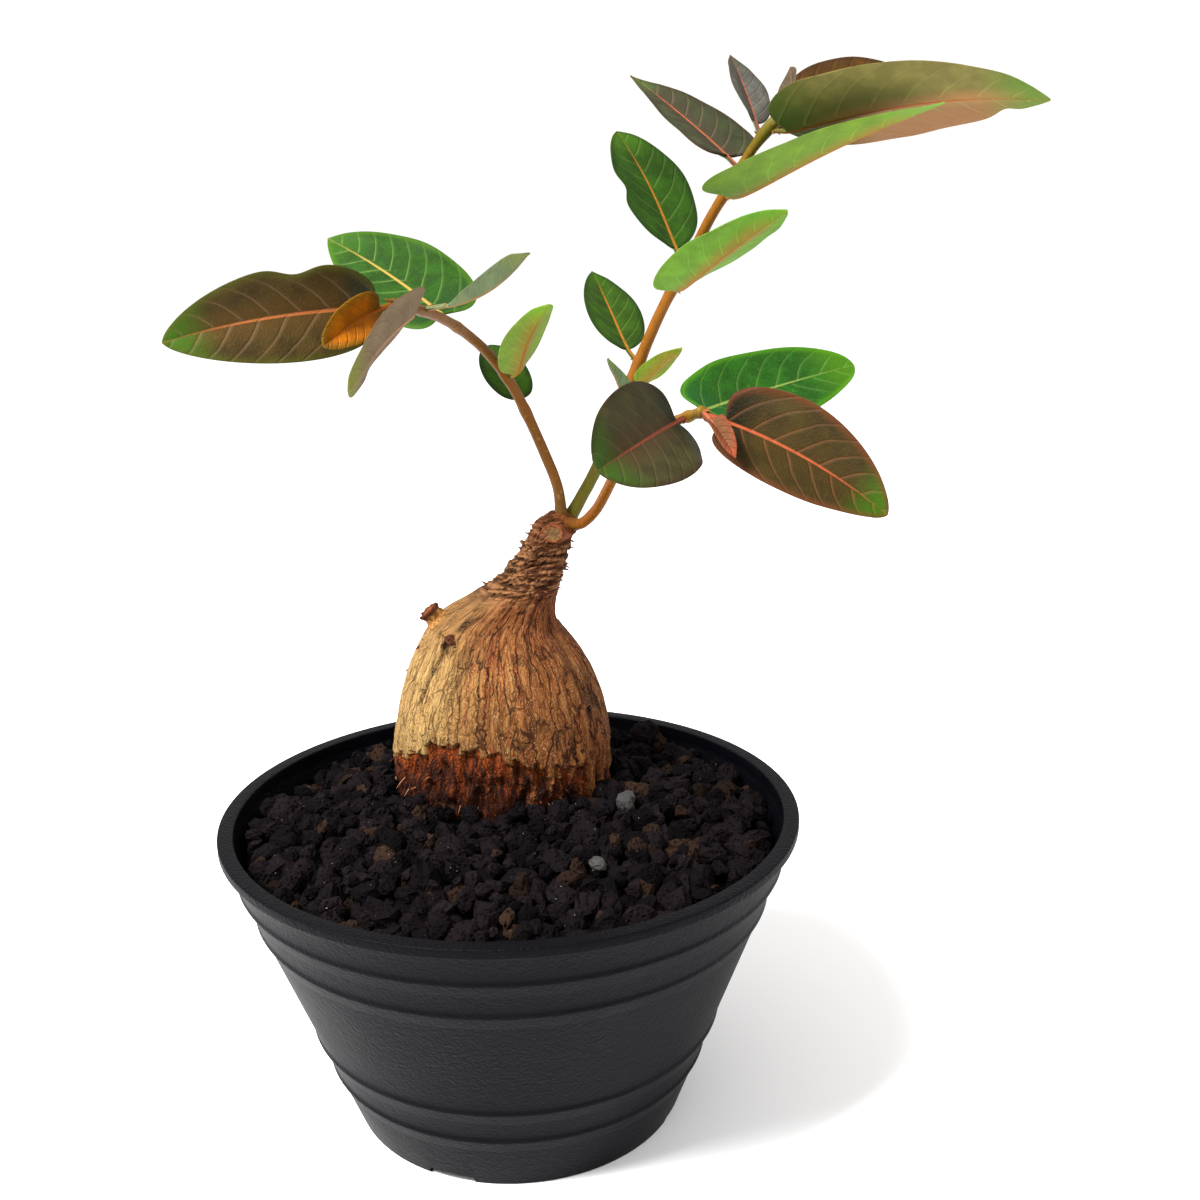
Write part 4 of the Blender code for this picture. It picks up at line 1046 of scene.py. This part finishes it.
def stem_shape(name):
    """Centre line, unit tangents and radii of a stem, at evenly spaced shares."""
    rows, foot_radius, tip_radius = STEMS[name]
    shares = np.linspace(0, 1, STEM_RINGS)
    centres = through(rows, shares)
    tangents = unit(np.gradient(centres, axis=0))
    radii = foot_radius + (tip_radius - foot_radius) * shares
    for leaf in LEAVES:
        if leaf.stem == name:
            radii = radii * (1 + NODE_SWELL * np.exp(-(((shares - leaf.along) / NODE_SPREAD) ** 2)))
    return shares, centres, tangents, radii


def stem_skin(name):
    """Rings across the centre line, the first sunk in the crown, the last drawn in to a tip."""
    shares, centres, tangents, radii = stem_shape(name)
    centres = np.vstack([centres[0] - 0.8 * np.array(CROWN_FACING), centres,
                         centres[-1] + 0.35 * tangents[-1]])
    tangents = np.vstack([tangents[0], tangents, tangents[-1]])
    radii = np.concatenate([[1.5 * radii[0]], radii, [0.5 * radii[-1]]])
    radii = radii * (1 + 0.35 * np.exp(-np.arange(len(radii)) / 3.0))
    ahead = np.array((1.0, 0, 0))
    side = unit(ahead - (tangents @ ahead)[:, None] * tangents)
    front = np.cross(tangents, side)
    turns = even_turns(STEM_SIDES)[None, :, None]
    ring = np.cos(turns) * side[:, None] + np.sin(turns) * front[:, None]
    lumps = noise(centres[:, None] / 2.2 + ring * 0.8) - 0.5
    grid = centres[:, None] + (radii[:, None] * (1 + 0.06 * lumps))[..., None] * ring
    along = np.concatenate([[0], shares, [1]])
    return grid, np.broadcast_to(along[:, None], grid.shape[:2])


def stem_finish(name, foot, middle, tip, reach):
    """Bark of a shoot: its colour runs from foot to tip, with streaks and pale specks."""
    finish = Finish(name, Roughness=0.5, Specular_IOR_Level=0.15)
    spot = finish.place()
    along = finish.sign("along")
    streaks = finish.noise(spot, (1400, 1400, 260), 4, 0.65)
    finish.paint("Base Color", finish.coats(
        finish.mix(along.above(0.5 * reach, 1.3 * reach), foot, middle),
        (along.above(0.8, 1), tip),
        (streaks.above(0.45, 0.7) * 0.4, (116, 60, 10)),
        (finish.noise(spot, 900, 2).above(0.64, 0.72) * 0.25, (236, 176, 90))))
    finish.bump(streaks, 0.00015)
    return finish


STEM_COLOURS = {  # foot, middle, tip, and the share where the foot's colour ends
    "stem_left": ((124, 84, 14), (146, 90, 8), (116, 80, 10), 0.06),
    "stem_tall": ((124, 118, 18), (166, 102, 8), (124, 116, 20), 0.2),
    "stem_front": ((136, 84, 14), (162, 94, 8), (160, 122, 24), 0.06),
}
for name, colours in STEM_COLOURS.items():
    grid, along = stem_skin(name)
    stem = mesh_piece(name + "_bark", *capped_tube(grid), stem_finish(name + "_skin", *colours))
    carry(stem, "along", with_ends(along))
    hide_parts(name)
    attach(stem, "root")


# Each leaf is one thin blade on a short stalk, pointed, folded a little along its midrib, with
# some eight pairs of side veins that arch to the margin. Some show their undersides.
PETIOLE_START = 0.6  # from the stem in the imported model; here the stalk reaches back over it
PETIOLE_LENGTH = 2.9
PETIOLE_HALF = 0.55
BLADE_HALF_THICK = 0.2
PETIOLE_HALF_THICK = 0.42
KEEL = 0.3  # by which the midrib stands out below
GROOVE = 0.1  # by which it is sunk above
RIB_HALF = 0.42
WAVE = 1.1  # of the margin
BLADE_ROWS = 70
BLADE_COLUMNS = 37
PETIOLE_ROWS = 6
VEIN_SLOPE = 0.75  # length along the leaf that a side vein gains per length outward
VEIN_PAIRS = 8


def leaf_foot(leaf):
    """Where the petiole starts on the stem's surface, and the way it stands off there."""
    shares, centres, tangents, radii = stem_shape(leaf.stem)
    centre = np.array([np.interp(leaf.along, shares, column) for column in centres.T])
    tangent = unit(np.array([np.interp(leaf.along, shares, column) for column in tangents.T]))
    radius = float(np.interp(leaf.along, shares, radii))
    away = np.array(leaf.side or np.array(leaf.tip) - centre)
    if leaf.along < 1:
        away = away - (away @ tangent) * tangent
    away = unit(away)
    surface = radius * float(np.linalg.norm(np.cross(away, tangent)))
    return centre + away * (surface + PETIOLE_START), away


def blade_half(leaf, share, side):
    """Half width of the blade at shares from its foot to its tip, on one side."""
    peak = leaf.base / (leaf.base + leaf.point)
    top = peak**leaf.base * (1 - peak) ** leaf.point
    half = 0.5 * leaf.width * share**leaf.base * (1 - share) ** leaf.point / top
    half = half * (1 + side * leaf.uneven)
    for dent_side, place, depth, spread in leaf.dents:
        if dent_side == side:
            half = half * (1 - depth * np.exp(-(((share - place) / spread) ** 2)))
    return np.maximum(half, PETIOLE_HALF * (0.25 + 0.75 * ease(share, 0.02, 0)))


def leaf_sheets(leaf):
    """Both faces of the leaf on grids, and for each point what its colour follows.

    The midrib is a bowed line from foot to tip. Points lie across it on two halves that fold
    up. The faces lie a little over and under that sheet, with a groove and a keel at the
    midrib, and meet nearly at the margin.
    """
    foot, away = leaf_foot(leaf)
    tip = np.array(leaf.tip, float)
    length = np.linalg.norm(tip - foot)
    chord = (tip - foot) / length
    facing = np.array(leaf.facing, float)
    facing = unit(facing - (facing @ chord) * chord)
    sideways = np.cross(chord, facing)
    stalk = PETIOLE_LENGTH / length
    rows = 0.5 - 0.5 * np.cos(np.linspace(0, math.pi, BLADE_ROWS))
    stalk_rows = np.linspace(0, stalk, PETIOLE_ROWS, endpoint=False)
    u = np.concatenate([stalk_rows, stalk + (1 - stalk) * rows])[:, None]
    share = np.clip((u - stalk) / (1 - stalk), 0, 1)
    arch = 4 * u * (1 - u) * length
    stalk_bend = 4 * u * (1 - u) ** 4 * PETIOLE_LENGTH
    midrib = (foot + u * length * chord + arch * (leaf.bow * facing + leaf.sway * sideways)
              + stalk_bend * (away - chord))
    midrib = midrib - PETIOLE_START * ease(u, stalk, 0) * away
    along = unit(np.gradient(midrib, u[:, 0], axis=0))
    up = unit(facing - (along @ facing)[:, None] * along)
    right = np.cross(along, up)
    turn = np.radians(leaf.twist) * share
    right, up = (np.cos(turn) * right + np.sin(turn) * up,
                 np.cos(turn) * up - np.sin(turn) * right)
    v = np.sin(np.linspace(-math.pi / 2, math.pi / 2, BLADE_COLUMNS))[None, :]
    v = 0.6 * v + 0.4 * np.linspace(-1, 1, BLADE_COLUMNS)[None, :]
    half = np.where(v > 0, blade_half(leaf, share, 1), blade_half(leaf, share, -1))
    fold = np.radians(leaf.fold) * np.minimum(1, half / 2.5)
    out = half * v * np.cos(fold)
    seed = 10 * leaf.along + 7 * len(leaf.name)
    waves = noise(np.stack([share * length / 7 + seed + 0 * v, 2.5 * v + seed + 0 * share,
                            0 * share * v], axis=-1)) - 0.5
    rise = half * np.abs(v) * np.sin(fold) + WAVE * waves * v**2 * ease(half, 1.5, 6)
    back = leaf.lobe * half * v**2 * (1 - share) ** 6
    sheet = (midrib[:, None] + out[..., None] * right[:, None] + rise[..., None] * up[:, None]
             - back[..., None] * along[:, None])
    normals = unit(np.cross(np.gradient(sheet, axis=1), np.gradient(sheet, axis=0)))
    stalky = ease(share, 0.03, 0)
    span = half * np.abs(v)
    rib = np.exp(-((span / RIB_HALF) ** 2)) * (1 - share) ** 0.4 * (1 - stalky)
    thick = BLADE_HALF_THICK + (PETIOLE_HALF_THICK - BLADE_HALF_THICK) * stalky
    thick = thick * np.sqrt(1.02 - v**4 * (1 - stalky) - v**2 * stalky)
    top = sheet + normals * (thick - GROOVE * rib)[..., None]
    bottom = sheet - normals * (thick + KEEL * rib)[..., None]

    x = share * length * (1 - stalk)
    origin = x - VEIN_SLOPE * span * (1 + 0.5 * v**2)
    phase = origin / length * VEIN_PAIRS + 0.45 * (v > 0)
    blade = np.stack(np.broadcast_arrays(share, v, phase), axis=-1)
    margin = half * (1 - np.abs(v))
    return top, bottom, blade, np.stack([span, margin, 0 * span], axis=-1)


def two_sheets(rows, columns):
    """Faces of two grids of points, the second the other way round, joined at their outline."""
    size = rows * columns
    flat = grid_faces(rows, columns)
    edge = np.concatenate([
        np.arange(columns), columns * np.arange(1, rows) + columns - 1,
        size - 2 - np.arange(columns - 1), columns * np.arange(rows - 2, 0, -1)])
    after = np.roll(edge, -1)
    return [flat, flat[:, ::-1] + size, np.stack([after, edge, edge + size, after + size], axis=1)]


@dataclass
class Look:
    """Colours of one leaf, from 0 to 255."""

    face: tuple
    vein: tuple
    rib: tuple
    tip: tuple
    margin: tuple
    heart: tuple = ()  # beside the midrib
    foot: tuple = ()
    under: tuple = (150, 165, 110)
    under_heart: tuple = ()
    flush: tuple = ()  # on the left half of the underside
    veins: float = 0.7  # how strongly the side veins show


LOOKS = {
    "leaf_left_1": Look(
        (78, 62, 22), (156, 120, 82), (226, 134, 74), (60, 119, 10), (92, 96, 26),
        heart=(100, 72, 26), foot=(46, 58, 40), veins=0.5),
    "leaf_left_2": Look(
        (40, 88, 10), (146, 190, 90), (214, 178, 84), (60, 112, 8), (84, 134, 16),
        foot=(34, 78, 24), veins=0.45),
    "leaf_left_3": Look(
        (110, 130, 80), (170, 176, 140), (190, 150, 96), (150, 160, 90), (130, 140, 90),
        under=(140, 157, 112)),
    "leaf_left_4": Look(
        (110, 104, 80), (150, 128, 112), (226, 160, 120), (150, 160, 60), (150, 130, 100),
        under=(150, 126, 96), veins=0.4),
    "leaf_left_5": Look(
        (230, 132, 8), (226, 136, 50), (224, 124, 36), (160, 92, 10), (120, 106, 14),
        foot=(150, 104, 14), under=(226, 142, 40), veins=0.15),
    "leaf_left_6": Look(
        (120, 160, 56), (190, 200, 120), (200, 124, 30), (150, 216, 60), (150, 180, 70),
        under=(150, 186, 70), under_heart=(176, 146, 60)),
    "leaf_left_7": Look(
        (66, 112, 8), (90, 130, 50), (150, 120, 30), (44, 96, 12), (16, 34, 12)),
    "leaf_tall_1": Look(
        (58, 95, 20), (116, 150, 60), (208, 136, 44), (60, 116, 18), (30, 60, 16),
        veins=0.5),
    "leaf_tall_2": Look(
        (140, 160, 60), (190, 196, 120), (206, 160, 70), (140, 176, 36), (170, 180, 90),
        under=(158, 198, 56), under_heart=(196, 160, 66), veins=0.4),
    "leaf_tall_3": Look(
        (96, 150, 60), (176, 196, 130), (220, 136, 64), (125, 205, 60), (150, 180, 90),
        under=(140, 196, 67), under_heart=(196, 152, 70)),
    "leaf_tall_4": Look(
        (52, 93, 21), (116, 150, 60), (208, 136, 44), (78, 126, 28), (34, 64, 18),
        veins=0.5),
    "leaf_tall_5": Look(
        (96, 150, 60), (176, 198, 130), (220, 136, 64), (140, 212, 90), (150, 184, 90),
        under=(145, 186, 63), under_heart=(190, 152, 70)),
    "leaf_tall_6": Look(
        (70, 78, 48), (134, 112, 90), (214, 118, 76), (84, 126, 58), (74, 52, 44),
        heart=(80, 70, 54)),
    "leaf_tall_7": Look(
        (100, 96, 34), (196, 132, 84), (210, 110, 40), (104, 170, 62), (126, 104, 56),
        heart=(140, 104, 42), foot=(84, 116, 34), under=(158, 148, 82),
        under_heart=(214, 154, 100), flush=(196, 134, 92), veins=0.9),
    "leaf_tall_8": Look(
        (102, 68, 22), (130, 84, 44), (150, 90, 48), (96, 66, 26), (70, 40, 18)),
    "leaf_tall_9": Look(
        (108, 108, 100), (130, 110, 96), (206, 110, 80), (90, 96, 70), (80, 74, 66)),
    "leaf_tall_10": Look(
        (112, 96, 76), (130, 114, 90), (160, 110, 70), (110, 98, 76), (96, 80, 58),
        veins=0.2),
    "leaf_front_1": Look(
        (69, 57, 20), (172, 106, 62), (206, 100, 58), (60, 118, 12), (124, 66, 34),
        heart=(76, 60, 22), foot=(30, 32, 16), veins=0.4),
    "leaf_front_2": Look(
        (76, 72, 40), (128, 104, 70), (186, 92, 62), (60, 100, 22), (74, 54, 32),
        heart=(90, 68, 38), foot=(42, 52, 36), veins=0.4),
    "leaf_front_3": Look(
        (36, 98, 20), (140, 184, 90), (150, 176, 84), (74, 130, 8), (90, 160, 14),
        foot=(30, 96, 36), veins=0.3),
    "leaf_front_4": Look(
        (132, 90, 58), (212, 124, 90), (212, 118, 84), (190, 90, 56), (170, 82, 52),
        under=(150, 104, 74), veins=0.2),
    "leaf_front_5": Look(
        (100, 118, 74), (150, 156, 120), (180, 130, 86), (106, 126, 70), (120, 126, 86),
        under=(104, 124, 84), veins=0.4),
}


def leaf_finish(name, look):
    """Colours of both faces, by the share along the blade and the millimetres from its midrib
    and margin."""
    finish = Finish(name, Specular_IOR_Level=0.08)
    spot = finish.place()
    along, side, phase = finish.parts(finish.place("blade"))
    span, margin, under = finish.parts(finish.place("reach"))
    cloud = finish.noise(spot, 260, 4, 0.6)
    mesh = finish.cells(spot, 1500, "DISTANCE_TO_EDGE")
    shaken = phase + 0.25 * (finish.noise(spot, 180, 2) - 0.5)
    off_vein = abs(shaken.fract() - 0.5)
    fading = margin.above(0, 3) * (0.45 + 0.55 * span.above(7, 1))
    vein = off_vein.above(0.455, 0.49) * look.veins * fading
    glow = off_vein.above(0.3, 0.5) * 0.16 * look.veins
    rib = (span + along * 0.25).above(0.5, 0.2) * (1 - 0.7 * along.above(0.55, 0.95))

    face = finish.coats(
        finish.mix(cloud.above(0.35, 0.7), dimmed(look.face, 0.86), dimmed(look.face, 1.1)),
        (span.above(4.5, 0.5) * 0.8, look.heart),
        (along.above(0.22, 0.02), look.foot),
        (along.above(0.72, 0.96) * 0.9, look.tip),
        (glow, look.vein),
        (vein, look.vein),
        (mesh.above(0.05, 0.0) * 0.15, look.vein),
        (margin.above(1.6, 0.1) * 0.6, look.margin),
        (rib, look.rib))
    back = finish.coats(
        finish.mix(cloud.above(0.35, 0.7), dimmed(look.under, 0.93), dimmed(look.under, 1.06)),
        (span.above(3.5, 0.3) * 0.75, look.under_heart),
        (side.above(0.05, -0.45) * 0.8, look.flush),
        (along.above(0.3, 0.02) * 0.8, look.foot),
        (along.above(0.72, 0.96) * 0.75, look.tip),
        (vein * 0.7, dimmed(look.under, 1.25)),
        (rib, look.rib))
    finish.paint("Base Color", finish.mix(under, face, back))
    finish.paint("Roughness", 0.5 + 0.15 * under + 0.12 * cloud)
    finish.bump((under - 0.5) * off_vein.above(0.36, 0.5) + 0.15 * mesh.above(0, 0.1), 0.0002)
    return finish


for leaf in LEAVES:
    top, bottom, blade, reach = leaf_sheets(leaf)
    points = np.concatenate([top.reshape(-1, 3), bottom.reshape(-1, 3)])
    piece = mesh_piece(leaf.name + "_blade", points, two_sheets(*top.shape[:2]),
                       leaf_finish(leaf.name + "_skin", LOOKS[leaf.name]))
    carry(piece, "blade", np.stack([blade, blade]).reshape(-1, 3))
    carry(piece, "reach", np.stack([reach, reach + (0, 0, 1)]).reshape(-1, 3))
    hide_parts(leaf.name)
    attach(piece, "root")


# A pair of dry stipules stands at the foot of every leaf, and a small folded bud of three scales
# ends each shoot.
BUD_SCALES = 3

rows = []
for leaf in LEAVES:
    foot, away = leaf_foot(leaf)
    side = unit(np.cross(away, (0.2, -0.3, 0.9)))
    for hand in (-1, 1):
        end = foot + 0.5 * away + 0.9 * hand * side + rng.normal(0, 0.15, 3)
        rows.append((foot - 0.75 * away + 0.5 * hand * side, end, 0.24))
stipules = spikes("stipules", rows, mottled("stipule_skin", 500, (92, 48, 16), (160, 92, 36),
                                            Roughness=0.7, Specular_IOR_Level=0.2))

rows = []
for name in STEMS:
    shares, centres, tangents, radii = stem_shape(name)
    for turn in rng.normal(0, 0.35, (BUD_SCALES, 3)):
        end = centres[-1] + rng.uniform(1.4, 2.2) * unit(tangents[-1] + turn)
        rows.append((centres[-1] - 0.3 * tangents[-1], end, 0.5))
buds = spikes("shoot_buds", rows, mottled("bud_skin", 500, (120, 112, 30), (176, 106, 40),
                                          Roughness=0.6, Specular_IOR_Level=0.2))
for piece in (stipules, buds):
    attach(piece, "root")
